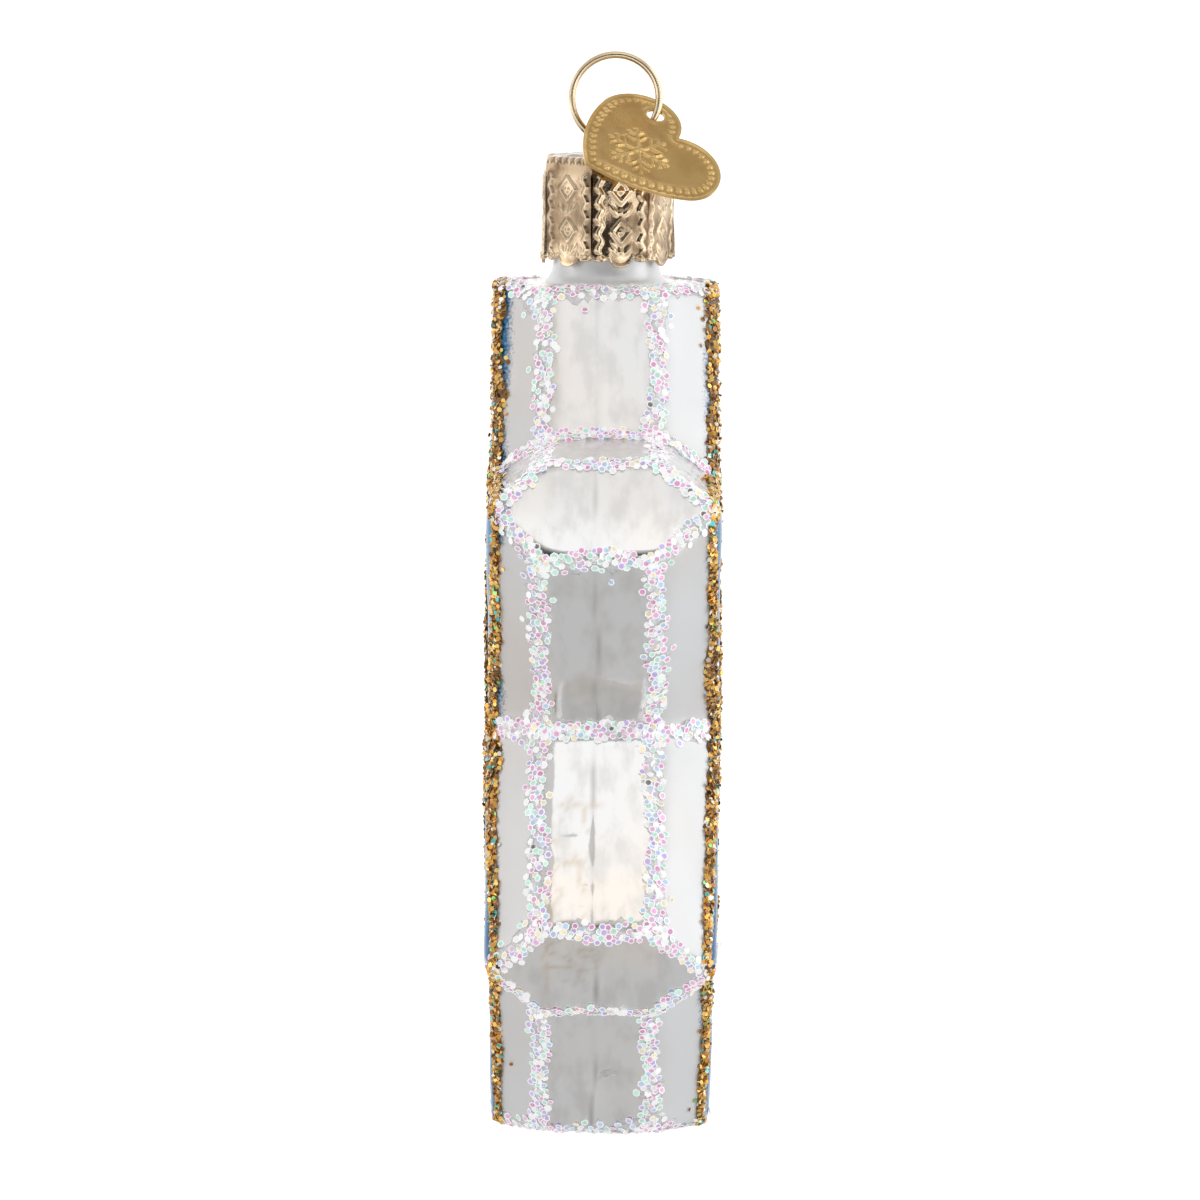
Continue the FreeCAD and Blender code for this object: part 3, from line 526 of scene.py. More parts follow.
def make_glitter_line(line, kind, seed):
    """The glue as a low uneven bead along the line, with flakes strewn through it, in one piece."""
    random = np.random.default_rng(seed)
    steps = max(int(line.length / 0.45), 12)
    run = np.linspace(0.0, line.length, steps, endpoint=not line.closed)
    phase = random.uniform(0, 2 * math.pi, size=6)
    turn = 2 * math.pi / line.length

    def wander(at):
        """A slow drift of the line that joins up where a closed line meets itself."""
        return 0.16 * np.sin(turn * round(line.length / 21.0) * at + phase[0]) \
            + 0.10 * np.sin(turn * round(line.length / 8.3) * at + phase[1])

    def breadth(at):
        """The line's local width."""
        return line.width * (1.0 + 0.16 * np.sin(turn * round(line.length / 13.0) * at + phase[2])
                             + 0.14 * np.sin(turn * round(line.length / 4.7) * at + phase[3]))

    lanes = np.linspace(-1.0, 1.0, 9)
    r, lane = np.meshgrid(run, lanes, indexing="ij")
    ragged = 1.0 + 0.16 * random.normal(size=(len(run), 1))
    across = wander(r) + lane * breadth(r) * 0.44 * ragged
    points, ways = line.place(r, across)
    surface, normals = settle(points, ways)
    rise = kind["bead"] * np.sqrt(np.maximum(1.0 - lane ** 2, 0.0)) * (1.0 + 0.25 * random.normal(size=r.shape))
    top = surface + normals * np.maximum(rise, 0.0)[..., None]
    under = surface - normals * 0.12
    rows, columns = r.shape
    bead_points = np.concatenate([top.reshape(-1, 3), under.reshape(-1, 3)])
    if line.closed:
        order = np.arange(rows * columns).reshape(rows, columns).T.ravel()
        top_t = top.transpose(1, 0, 2).reshape(-1, 3)
        under_t = under.transpose(1, 0, 2).reshape(-1, 3)
        bead_points = np.concatenate([top_t, under_t])
        bead_quads = shell_quads(columns, rows, wrap=True)
    else:
        bead_quads = shell_quads(rows, columns)
    outward = mesh_turned_out(bead_points, bead_quads, surface, normals)
    bead_quads = bead_quads if outward else bead_quads[:, ::-1]

    count = int(line.length * line.width * kind["density"])
    at = (np.arange(count) + random.uniform(-0.5, 0.5, count)) / count * line.length
    at = np.mod(at, line.length) if line.closed else np.clip(at, 0.0, line.length)
    golden = np.mod(np.arange(count) * 0.6180339887, 1.0) - 0.5
    drift = golden * 0.92 * breadth(at) + random.normal(scale=0.07, size=count)
    stray = random.random(count) < kind["stray"]
    drift = np.where(stray, drift * random.uniform(1.3, 1.9, count), drift)
    points, ways = line.place(at, wander(at) + drift)
    surface, normals = settle(points, ways)
    lift = kind["bead"] * 0.55 + kind["heap"] * random.random(count) * (~stray)
    centres = surface + normals * lift[:, None]
    flakes, quads, triangles, middle = flake_arrays(
        centres, normals, kind["radius"], kind["thickness"], kind["tilt"], random)
    palette = np.array([c[:3] for c in kind["palette"]])
    share = np.array([c[3] for c in kind["palette"]])
    pick = random.choice(len(palette), size=count, p=share / share.sum())
    tint = palette[pick] * random.uniform(0.82, 1.08, size=(count, 1))
    first = len(bead_points)
    all_points = np.concatenate([bead_points, flakes]) + STAR_CENTRE
    low = np.array(CAD_LOW) / MM + 0.005
    high = np.array(CAD_HIGH) / MM - 0.005
    all_points = np.clip(all_points, low, high)
    made = fill_mesh(line.name, all_points, np.concatenate([bead_quads, quads + first]), triangles + first)
    glued = np.zeros(len(made.data.polygons), dtype=np.int32)
    glued[len(bead_quads):] = 1
    smooth = np.zeros(len(glued), dtype=bool)
    smooth[:len(bead_quads)] = True
    made.data.polygons.foreach_set("use_smooth", smooth)
    made.data.polygons.foreach_set("material_index", glued)
    colours = np.ones((len(all_points), 3))
    colours[first:] = np.repeat(tint, 14, axis=0)
    add_colours(made, "tint", np.clip(colours, 0.0, 1.0))
    add_values(made, "middle", np.concatenate([np.zeros(first), middle]))
    return made


def mesh_turned_out(points, quads, surface, normals):
    """True if the first faces of a bead look away from the glass."""
    corners = points[quads[:200]]
    facing = np.cross(corners[:, 1] - corners[:, 0], corners[:, 2] - corners[:, 0]).sum(axis=0)
    index = quads[:200, 0]
    flat = surface.reshape(-1, 3)
    nearest = np.array([np.argmin(((flat - p) ** 2).sum(axis=1)) for p in points[index[::20]]])
    return float((normals.reshape(-1, 3)[nearest]
                  * np.cross(corners[::20, 1] - corners[::20, 0], corners[::20, 2] - corners[::20, 0])).sum()) > 0


def run_table(apothem, corners):
    """Distances along stretches of the outline and their places, for stepping evenly along it."""
    x, z = outline(np.array(corners, dtype=float), apothem)
    steps = np.hypot(np.diff(x), np.diff(z))
    return np.concatenate([[0.0], np.cumsum(steps)]), np.array(corners, dtype=float)


def radial_ways(x, z):
    """Ways that point straight out from the star's centre line."""
    spread = np.hypot(x, z)
    return np.stack([x / spread, np.zeros_like(x), z / spread], axis=-1)


def band_line(side, sector):
    """The pale line along one edge of the band, from tip corner over the valley to the next tip corner."""
    start = 3 * sector + 2
    runs, places = run_table(BAND_APOTHEM, [start, start + 1, start + 2])

    def place(run, across):
        drop = side * BAND_HALF - SEAM_SHIFT * smooth_step(np.abs(run - runs[1]), 16.0, 8.0) * 0 - SEAM_SHIFT
        y = drop + across
        x, z = outline(np.interp(run, runs, places), apothem_at(y))
        return np.stack([x, y, z], axis=-1), radial_ways(x, z)

    return runs[-1], place


def full_outline_run():
    """The whole painted outline from valley to valley round the face."""
    return run_table(FACE_APOTHEM, list(range(19)))


def edge_line(side):
    """The gold line over the painted face's edge, half on the face and half on the bevel."""
    runs, places = full_outline_run()

    def place(run, across):
        past = across + 0.4
        depth = FACE_HALF - np.maximum(past, 0.0) / BEVEL_STRETCH
        apothem = np.where(past > 0, apothem_at(depth), FACE_APOTHEM + past)
        x, z = outline(np.interp(run, runs, places), apothem)
        ways = radial_ways(x, z) * 0.7
        ways[..., 1] = 0.7 * side
        ways /= np.linalg.norm(ways, axis=-1, keepdims=True)
        return np.stack([x, side * depth, z], axis=-1), ways

    return runs[-1], place


def hexagon_line(side):
    """The gold line straight from valley to valley across the roots of the points, on the face."""
    corner = FACE_APOTHEM / COS30
    length = 6 * corner

    def place(run, across):
        share = np.mod(run / corner, 6.0)
        k = np.floor(share)
        part = share - k
        a0, a1 = np.radians(60.0 * k), np.radians(60.0 * (k + 1))
        middle = np.radians(60.0 * k + 30.0)
        x = corner * (np.cos(a0) * (1 - part) + np.cos(a1) * part) + across * np.cos(middle)
        z = corner * (np.sin(a0) * (1 - part) + np.sin(a1) * part) + across * np.sin(middle)
        y = side * FACE_HALF * np.ones_like(x)
        ways = np.zeros(x.shape + (3,))
        ways[..., 1] = side
        return np.stack([x, y, z], axis=-1), ways

    return length, place


def tip_line(sector):
    """The pale frame round one flat tip: six straight sides in the tip's own plane."""
    tip = math.radians(30.0 + 60.0 * sector)
    reach = TOP_REACH if sector == 1 else STAR_REACH
    wide = (BAND_APOTHEM - reach / 2) / SIN60
    narrow = max((FACE_APOTHEM - reach / 2) / SIN60, 0.0)
    rim = FACE_HALF - 0.9
    corners = np.array([(-rim, -narrow), (-BAND_HALF - SEAM_SHIFT, -wide), (BAND_HALF - SEAM_SHIFT, -wide),
                        (rim, -narrow), (rim, narrow), (BAND_HALF - SEAM_SHIFT, wide),
                        (-BAND_HALF - SEAM_SHIFT, wide), (-rim, narrow), (-rim, -narrow)])
    steps = np.hypot(*np.diff(corners, axis=0).T)
    runs = np.concatenate([[0.0], np.cumsum(steps)])

    def place(run, across):
        y = np.interp(run, runs, corners[:, 0])
        w = np.interp(run, runs, corners[:, 1])
        inward = 1.0 - (across * 0.9 + 0.12) / np.maximum(np.hypot(y, w), 3.0)
        y, w = y * inward, w * inward
        x = reach * math.cos(tip) - w * math.sin(tip)
        z = reach * math.sin(tip) + w * math.cos(tip)
        ways = np.zeros(x.shape + (3,))
        ways[..., 0] = math.cos(tip)
        ways[..., 2] = math.sin(tip)
        return np.stack([x, y, z], axis=-1), ways

    return runs[-1], place


def valley_line(sector):
    """The pale line through one valley, from bevel edge to bevel edge."""
    length = 2 * FACE_HALF * 1.12

    def place(run, across):
        y = (run / length - 0.5) * 2 * (FACE_HALF - 0.9)
        apothem = apothem_at(y)
        x, z = outline(3.0 * sector + across / 20.8, apothem)
        return np.stack([x, y, z], axis=-1), radial_ways(x, z)

    return length, place


PALE_PALETTE = (
    (0.98, 0.98, 0.98, 4.4),
    (0.86, 0.42, 0.70, 2.4),
    (0.74, 0.24, 0.54, 1.4),
    (0.56, 0.42, 0.82, 1.6),
    (0.50, 0.88, 0.72, 2.0),
    (0.48, 0.66, 0.92, 1.2),
    (0.95, 0.82, 0.50, 0.9),
    (0.10, 0.07, 0.06, 0.12),
)
# Gold flake tints and shares: the oranges, the brown and the few teal and green ones are the glitter's own tones;
# the near-black ones are painted shade and the near-white ones painted glints on the same gold.
GOLD_PALETTE = (
    (0.86, 0.42, 0.04, 4.2),
    (0.98, 0.62, 0.12, 2.6),
    (0.42, 0.15, 0.015, 2.6),
    (0.12, 0.05, 0.01, 1.6),
    (1.00, 0.95, 0.80, 1.0),
    (0.06, 0.60, 0.62, 0.5),
    (0.25, 0.70, 0.18, 0.3),
)
PALE = {"bead": 0.14, "heap": 0.14, "radius": 0.39, "thickness": 0.05, "tilt": 0.20, "density": 2.7,
        "stray": 0.10, "palette": PALE_PALETTE}
GOLD = {"bead": 0.16, "heap": 0.22, "radius": 0.25, "thickness": 0.05, "tilt": 0.45, "density": 6.2,
        "stray": 0.06, "palette": GOLD_PALETTE}

TIP_NAMES = ("upper_right", "top", "upper_left", "lower_left", "bottom", "lower_right")
VALLEY_NAMES = ("right", "top_right", "top_left", "left", "bottom_left", "bottom_right")


# ---------------------------------------------------------------- the cap

def bump(value, middle, width):
    """A rounded ridge about a middle value."""
    return np.exp(-((value - middle) / width) ** 2)


def petal_relief(across, down):
    """The pressed pattern of one petal: beaded sides, lozenges, pearls and leaves down the middle."""
    reach = smooth_step(down, 0.5, 0.9) * (1.0 - smooth_step(down, 8.3, 8.8))
    wave = 2.18 + 0.17 * np.sin(2 * math.pi * down / 1.55)
    relief = 0.20 * bump(np.abs(across), wave, 0.20) * reach
    for middle in (2.3, 6.4):
        lozenge = np.abs(across) / 0.95 + np.abs(down - middle) / 1.15
        relief = relief + 0.17 * bump(lozenge, 1.0, 0.22)
        relief = relief + 0.17 * np.exp(-((across ** 2 + (down - middle) ** 2) / 0.3 ** 2))
    for middle, half in ((4.35, 0.62), (8.3, 0.7)):
        for side in (-1, 1):
            lean = (across - side * half) * 0.8 + side * (down - middle) * 0.6
            flat = (down - middle) * 0.8 - side * (across - side * half) * 0.6
            relief = relief + 0.16 * np.exp(-(lean / 0.22) ** 2 - (flat / 0.55) ** 2)
        relief = relief + 0.15 * np.exp(-((across ** 2 + (down - middle - 0.1) ** 2) / 0.24 ** 2))
    for side in (-1, 1):
        dot = (across - side * 2.0) ** 2 + (down - 9.15) ** 2
        relief = relief + 0.30 * np.exp(-(dot / 0.36 ** 2) ** 2)
    return relief


def petal_end(across):
    """Where a petal's edge lies: a large lobe in the middle and a small one at each side."""
    large = LOBE_DROP * np.sqrt(np.clip(1.0 - (across / LOBE_RADIUS) ** 2, 0.0, 1.0))
    small = 0.42 * np.sqrt(np.clip(1.0 - ((np.abs(across) - 2.1) / 0.75) ** 2, 0.0, 1.0))
    return CAP_PETAL_END - np.maximum(large, small) + 0.18


def make_cap(material):
    """Seven pressed petals: each is a sheet from the crown's middle over the fold to its scalloped end.

    A point lies at a share of the petal's width and a distance along the profile; the relief moves it
    outwards, and the sheet's inside follows at the metal's thickness.
    """
    half_angle = math.pi / PETALS
    half_chord = CAP_APOTHEM * math.tan(half_angle)
    share = np.linspace(-1.0, 1.0, 45)
    crown = np.linspace(0.0, CAP_APOTHEM - CAP_FOLD, 17)
    fold = np.linspace(0.0, math.pi / 2, 11)[1:]
    drop = np.linspace(0.0, 1.0, 66)[1:]
    flat_radius = np.concatenate([crown, CAP_APOTHEM - CAP_FOLD + CAP_FOLD * np.sin(fold),
                                  np.full(len(drop), CAP_APOTHEM)])
    turn = np.concatenate([np.zeros(len(crown)), fold, np.full(len(drop), math.pi / 2)])
    sunk = np.concatenate([np.zeros(len(crown)), CAP_FOLD * (1.0 - np.cos(fold)), np.full(len(drop), CAP_FOLD)])
    falling = np.concatenate([np.zeros(len(crown) + len(fold)), drop])
    r, s = np.meshgrid(flat_radius, share, indexing="ij")
    t, _ = np.meshgrid(turn, share, indexing="ij")
    z0, _ = np.meshgrid(CAP_TOP - sunk, share, indexing="ij")
    f, _ = np.meshgrid(falling, share, indexing="ij")
    points, quads, relief_values = [], [], []
    for petal in range(PETALS):
        seed = 40 + petal
        middle = math.radians(CAP_TURN + 180.0 / PETALS + petal * 360.0 / PETALS)
        across = s * r * math.tan(half_angle)
        slit = smooth_step(f * 8.0, SLIT_TOP - CAP_FOLD - 0.2, SLIT_TOP - CAP_FOLD + 0.15)
        across = across * (1.0 - slit * SLIT_HALF / half_chord)
        end = petal_end(across)
        z = z0 + (end - z0) * f
        down = (CAP_TOP - CAP_FOLD) - z
        relief = petal_relief(across, down) * np.where(f > 0, 1.0, 0.0)
        rim = bump(t, 0.75, 0.42) * (0.5 + 0.5 * np.cos(across * 2 * math.pi / 0.83))
        relief = relief + 0.17 * rim
        relief = relief + 0.10 * bump(z, end + 0.16, 0.16) * smooth_step(f, 0.8, 0.95)
        crown_rise = 0.28 * np.clip(1.0 - (r / 5.2) ** 2, 0.0, 1.0) * np.where(t == 0, 1.0, 0.0)
        crown_rise = crown_rise - 0.16 * bump(r, 4.3, 0.35) * np.where(t == 0, 1.0, 0.0)
        bow = 0.22 * (1.0 - (across / half_chord) ** 2) * np.sin(t) ** 2 * smooth_step(f, 0.0, 0.15)
        splay = 0.16 * f ** 2 * np.sin(middle * 3.0 + 1.0)
        place = np.stack([across, down, np.full_like(down, petal * 7.0)], axis=-1)
        dent = 0.05 * ripple(place, 3.6, seed) * np.clip(f * 3.0, 0.0, 1.0)
        sheets = []
        for inset in (0.0, CAP_SHEET):
            push = relief + bow + splay + dent - inset
            out = r + push * np.sin(t)
            high = z + crown_rise + push * np.cos(t)
            x = out * math.cos(middle) - across * math.sin(middle)
            y = out * math.sin(middle) + across * math.cos(middle)
            sheets.append(np.stack([x, y + STAR_CENTRE[1], high], axis=-1).reshape(-1, 3))
        start = sum(len(p) for p in points)
        points.append(np.concatenate(sheets))
        quads.append(shell_quads(len(flat_radius), len(share)) + start)
        relief_values.append(np.tile((relief + 0.3 * bow).ravel(), 2))
    made = fill_mesh("pressed_metal_cap", np.concatenate(points), np.concatenate(quads), [], sharp_angle=55)
    add_values(made, "relief", np.concatenate(relief_values))
    return made, material


# ---------------------------------------------------------------- the wire

def arc_points(centre, radius, start, finish, step=0.18):
    """Points round an arc between two angles, in the wire's own plane."""
    count = max(int(abs(finish - start) * radius / step), 6)
    angle = np.linspace(start, finish, count)
    return np.stack([centre[0] + radius * np.cos(angle), centre[1] + radius * np.sin(angle)], axis=-1)


def wire_side(side, wrap_degrees):
    """One side of the wire from the loop's top: loop, opposite bend, straight leg, splay bend and leg."""
    ring = (LOOP_BORE + 2 * WIRE_RADIUS) / 2
    wrap = math.radians(wrap_degrees)
    leg = side * LEG_HALF - LOOP_LEAN
    drop = LOOP_BORE + 2 * WIRE_RADIUS + LOOP_STAND
    splay = math.radians(LEG_SPLAY)
    centre = (0.0, -LOOP_BORE / 2)
    bend = (ring * math.cos(wrap) - side * leg) / (1 - math.cos(wrap))
    shoulder = (centre[0] + side * math.cos(wrap) * (ring + bend), centre[1] - math.sin(wrap) * (ring + bend))
    joint = -wrap if side > 0 else math.pi + wrap
    top = math.pi / 2
    loop = arc_points(centre, ring, top, joint)
    turn_start = math.pi - wrap if side > 0 else wrap
    turn_end = math.pi if side > 0 else 0.0
    upper = arc_points(shoulder, bend, turn_start, turn_end)
    knee = (leg, -drop - LEG_STRAIGHT)
    straight = np.stack([np.full(12, leg), np.linspace(shoulder[1], knee[1], 12)], axis=-1)
    hub = (knee[0] + side * LEG_BEND, knee[1])
    low_start = math.pi if side > 0 else 0.0
    low_end = math.pi + splay if side > 0 else -splay
    lower = arc_points(hub, LEG_BEND, low_start, low_end)
    steps = np.linspace(0.0, LEG_LENGTH, 30)[:, None]
    final = lower[-1] + steps * np.array([[side * math.sin(splay), -math.cos(splay)]])
    return np.concatenate([loop, upper[1:], straight[1:], lower[1:], final[1:]])


def make_wire(material):
    """The sprung wire: a circle carried along the loop and both legs, with rounded ends."""
    near = wire_side(-1, WRAP_NEAR)
    far = wire_side(1, WRAP_FAR)
    path = np.concatenate([near[::-1], far[1:]])
    step = np.gradient(path, axis=0)
    step /= np.linalg.norm(step, axis=1, keepdims=True)
    side = np.stack([np.zeros(len(path)), -step[:, 1], step[:, 0]], axis=-1)
    centre = np.stack([np.zeros(len(path)), path[:, 0], path[:, 1]], axis=-1)
    sides = 20
    angle = np.linspace(0, 2 * math.pi, sides, endpoint=False)
    place = np.cumsum(np.concatenate([[0.0], np.linalg.norm(np.diff(path, axis=0), axis=1)]))
    radius = WIRE_RADIUS * (0.985 + 0.012 * np.sin(place / 1.9) * np.sin(place / 5.3))
    taper = np.minimum(place, place[-1] - place)
    radius = radius * np.sqrt(np.clip(taper / 0.3, 0.03, 1.0))
    around = np.cos(angle)[None, :, None] * np.array([1.0, 0, 0]) + np.sin(angle)[None, :, None] * side[:, None]
    points = (centre[:, None] + radius[:, None, None] * around).reshape(-1, 3)
    quads = grid_quads(len(path), sides, wrap=True)
    first = np.stack([np.zeros(sides - 2, int), np.arange(2, sides), np.arange(1, sides - 1)], axis=-1)
    start = (len(path) - 1) * sides
    final = np.stack([np.full(sides - 2, start), start + np.arange(1, sides - 1), start + np.arange(2, sides)],
                     axis=-1)
    made = fill_mesh("sprung_wire_loop", points, quads, np.concatenate([first[:, ::-1], final[:, ::-1]]))
    add_values(made, "relief", np.full(len(points), 0.1))
    return made, material


# ---------------------------------------------------------------- the heart tag

def heart_outline():
    """The heart's outline: a lobe's arc and a flank's arc on each side, as evenly spaced points."""
    hub = np.array([TAG_HALF - TAG_LOBE,
                    TAG_NOTCH - math.sqrt(TAG_LOBE ** 2 - (TAG_HALF - TAG_LOBE) ** 2)])
    far = np.linalg.norm(hub)
    along = (TAG_FLANK ** 2 - (TAG_FLANK - TAG_LOBE) ** 2 + far ** 2) / (2 * far)
    across = np.array([-hub[1], hub[0]]) / far
    base = hub / far * along + across * math.sqrt(TAG_FLANK ** 2 - along ** 2)
    touch = hub + (hub - base) / np.linalg.norm(hub - base) * TAG_LOBE
    a_tip = math.atan2(-base[1], -base[0])
    a_touch = math.atan2(touch[1] - base[1], touch[0] - base[0])
    flank = arc_points(base, TAG_FLANK, a_tip, a_touch, step=0.03)
    b_touch = math.atan2(touch[1] - hub[1], touch[0] - hub[0])
    b_notch = math.atan2(TAG_NOTCH - hub[1], -hub[0])
    lobe = arc_points(hub, TAG_LOBE, b_touch, b_notch, step=0.03)
    right = np.concatenate([flank, lobe[1:]])
    left = right[::-1] * np.array([[-1.0, 1.0]])
    return np.concatenate([right, left[1:-1]])


def segment_distance(x, y, start, finish):
    """Distance to a straight stroke."""
    dx, dy = finish[0] - start[0], finish[1] - start[1]
    part = np.clip(((x - start[0]) * dx + (y - start[1]) * dy) / (dx * dx + dy * dy), 0.0, 1.0)
    return np.hypot(x - start[0] - part * dx, y - start[1] - part * dy)


def snow_crystal(x, y, centre, size):
    """A pressed snow crystal: six arms with two pairs of twigs each, as rounded strokes."""
    nearest = np.full(x.shape, 9.0)
    for arm in range(6):
        a = math.radians(30.0 + 60.0 * arm)
        way = (math.cos(a), math.sin(a))
        tip = (centre[0] + way[0] * size, centre[1] + way[1] * size)
        nearest = np.minimum(nearest, segment_distance(x, y, centre, tip))
        for share, length in ((0.45, 0.36), (0.72, 0.26)):
            root = (centre[0] + way[0] * size * share, centre[1] + way[1] * size * share)
            for lean in (-1, 1):
                b = a + lean * math.radians(55.0)
                twig = (root[0] + math.cos(b) * size * length, root[1] + math.sin(b) * size * length)
                nearest = np.minimum(nearest, segment_distance(x, y, root, twig))
    return np.exp(-(nearest / 0.2) ** 2)


def tag_relief(x, y, inset, along):
    """The stamped relief: a raised rim, a row of pearls inside it, a dished middle and a snow crystal."""
    rim = 0.16 * smooth_step(-inset, -0.42, -0.08)
    pearls = 0.26 * bump(inset, 0.95, 0.27) * (0.5 + 0.5 * np.cos(2 * math.pi * along / 1.02))
    dish = -0.10 * smooth_step(inset, 1.3, 2.1)
    crystal = 0.26 * snow_crystal(x, y, (0.15, 6.6), 3.2)
    crystal = crystal + 0.16 * np.exp(-((x - 0.15) ** 2 + (y - 6.6) ** 2) / 0.4 ** 2)
    hole = np.hypot(x - TAG_HOLE_AT[0], y - TAG_HOLE_AT[1])
    collar = 0.07 * bump(hole, TAG_HOLE + 0.25, 0.2)
    keep = smooth_step(hole, TAG_HOLE + 0.2, TAG_HOLE + 0.8)
    return (rim + (pearls + dish) * keep + crystal + collar)


def make_tag(material):
    """The stamped heart: a fine lattice over the outline, its edge points moved onto the outline and the hole.

    The relief lifts the front and the back alike, as a press does, and walls close the edges.
    """
    rim = heart_outline()
    cell = 0.14
    xs = np.arange(-TAG_HALF - cell, TAG_HALF + 2 * cell, cell)
    ys = np.arange(-cell, TAG_NOTCH + 3.0, cell)
    x, y = (g.ravel() for g in np.meshgrid(xs, ys, indexing="xy"))
    nearest = np.empty(len(x), int)
    for start in range(0, len(x), 2000):
        part = slice(start, start + 2000)
        gap = (x[part, None] - rim[None, :, 0]) ** 2 + (y[part, None] - rim[None, :, 1]) ** 2
        nearest[part] = gap.argmin(axis=1)
    away = np.hypot(x - rim[nearest, 0], y - rim[nearest, 1])
    crossing = np.zeros(len(x), int)
    after = np.roll(rim, -1, axis=0)
    for start in range(0, len(rim), 200):
        a, b = rim[start:start + 200], after[start:start + 200]
        spans = (a[None, :, 1] > y[:, None]) != (b[None, :, 1] > y[:, None])
        rise = np.where(b[:, 1] == a[:, 1], 1e-9, b[:, 1] - a[:, 1])
        at = a[None, :, 0] + (y[:, None] - a[None, :, 1]) * ((b[:, 0] - a[:, 0]) / rise)[None]
        crossing += (spans & (x[:, None] < at)).sum(axis=1)
    level = np.where(crossing % 2 == 1, -away, away)
    hx, hy = x - TAG_HOLE_AT[0], y - TAG_HOLE_AT[1]
    from_hole = np.hypot(hx, hy)
    hole_level = TAG_HOLE - from_hole
    snap = 0.62 * cell
    to_rim = np.abs(level) < snap
    to_hole = np.abs(hole_level) < snap
    inset = -np.minimum(level, 0.0)
    x = np.where(to_rim, rim[nearest, 0], x)
    y = np.where(to_rim, rim[nearest, 1], y)
    x = np.where(to_hole, TAG_HOLE_AT[0] + hx / from_hole * TAG_HOLE, x)
    y = np.where(to_hole, TAG_HOLE_AT[1] + hy / from_hole * TAG_HOLE, y)
    usable = (np.maximum(level, hole_level) < snap)
    deep = np.maximum(level, hole_level) < -snap
    index = np.arange(len(x)).reshape(len(ys), len(xs))
    cells = np.stack([index[:-1, :-1], index[:-1, 1:], index[1:, 1:], index[1:, :-1]], axis=-1).reshape(-1, 4)
    whole = usable[cells].all(axis=1) & deep[cells].any(axis=1)
    quads = cells[whole]
    triangles = []
    partial = (usable[cells].sum(axis=1) == 3) & deep[cells].any(axis=1)
    for skip in range(4):
        chosen = cells[partial & ~usable[cells[:, skip]]]
        triangles.append(np.delete(chosen, skip, axis=1))
    triangles = np.concatenate(triangles)
    edges = np.concatenate([quads[:, [i, (i + 1) % 4]] for i in range(4)]
                           + [triangles[:, [i, (i + 1) % 3]] for i in range(3)])
    codes = edges[:, 0] * len(x) + edges[:, 1]
    mirrored = edges[:, 1] * len(x) + edges[:, 0]
    rims = edges[~np.isin(codes, mirrored)]
    steps = np.linalg.norm(np.diff(rim, axis=0, append=rim[:1]), axis=1)
    along = np.concatenate([[0.0], np.cumsum(steps)])[:-1][nearest]
    relief = tag_relief(x, y, inset, along)
    bow = -0.012 * x ** 2 * 0.5
    front = np.stack([x, y, TAG_SHEET / 2 + relief * 0.9 + bow], axis=-1)
    back = np.stack([x, y, -TAG_SHEET / 2 + relief * 0.9 + bow], axis=-1)
    count = len(x)
    walls = np.stack([rims[:, 1], rims[:, 0], rims[:, 0] + count, rims[:, 1] + count], axis=-1)
    all_quads = np.concatenate([quads, quads[:, ::-1] + count, walls])
    all_triangles = np.concatenate([triangles, triangles[:, ::-1] + count])
    flat = np.concatenate([front, back])
    used = np.unique(np.concatenate([all_quads.ravel(), all_triangles.ravel()]))
    renumber = np.full(len(flat), -1)
    renumber[used] = np.arange(len(used))
    face = np.array(TAG_FRONT) / np.linalg.norm(TAG_FRONT)
    right = np.array(TAG_RIGHT) - face * np.dot(face, TAG_RIGHT)
    right /= np.linalg.norm(right)
    up = np.cross(face, right)
    ring = (LOOP_BORE + 2 * WIRE_RADIUS) / 2
    angle = math.radians(TAG_ANGLE)
    on_wire = np.array([0.0, ring * math.cos(angle), ring * math.sin(angle) - LOOP_BORE / 2])
    origin = on_wire - right * TAG_HOLE_AT[0] - up * TAG_HOLE_AT[1]
    placed = origin + flat[used, 0:1] * right + flat[used, 1:2] * up + flat[used, 2:3] * face
    made = fill_mesh("stamped_heart_tag", placed, renumber[all_quads], renumber[all_triangles], sharp_angle=50)
    add_values(made, "relief", np.tile(relief, 2)[used])
    return made, material


# ---------------------------------------------------------------- materials

def new_material(name):
    """A material with its Principled shader and a helper for placing nodes."""
    made = bpy.data.materials.new(name)
    made.use_nodes = True
    tree = made.node_tree
    shader = tree.nodes["Principled BSDF"]
    return made, tree, shader


def node(tree, kind, values=(), **settings):
    """A node with its settings, and its input sockets from numbers or from other sockets."""
    made = tree.nodes.new(kind)
    for key, value in settings.items():
        setattr(made, key, value)
    for key, value in dict(values).items():
        socket = made.inputs[key]
        if isinstance(value, bpy.types.NodeSocket):
            tree.links.new(value, socket)
        else:
            socket.default_value = value
    return made


def maths(tree, operation, a, b=0.0, c=0.0, clamp=False):
    """One arithmetic step."""
    return node(tree, "ShaderNodeMath", {0: a, 1: b, 2: c}, operation=operation, use_clamp=clamp).outputs[0]


def mix_colour(tree, share, a, b, blend="MIX"):
    """A colour between two colours."""
    made = node(tree, "ShaderNodeMix", {"Factor": share}, data_type="RGBA", blend_type=blend)
    for index, value in ((6, a), (7, b)):
        if isinstance(value, bpy.types.NodeSocket):
            tree.links.new(value, made.inputs[index])
        else:
            made.inputs[index].default_value = (*value, 1.0)
    return made.outputs[2]


def mix_value(tree, share, a, b):
    """A number between two numbers."""
    made = node(tree, "ShaderNodeMix", {"Factor": share, "A": a, "B": b}, data_type="FLOAT")
    return made.outputs[0]


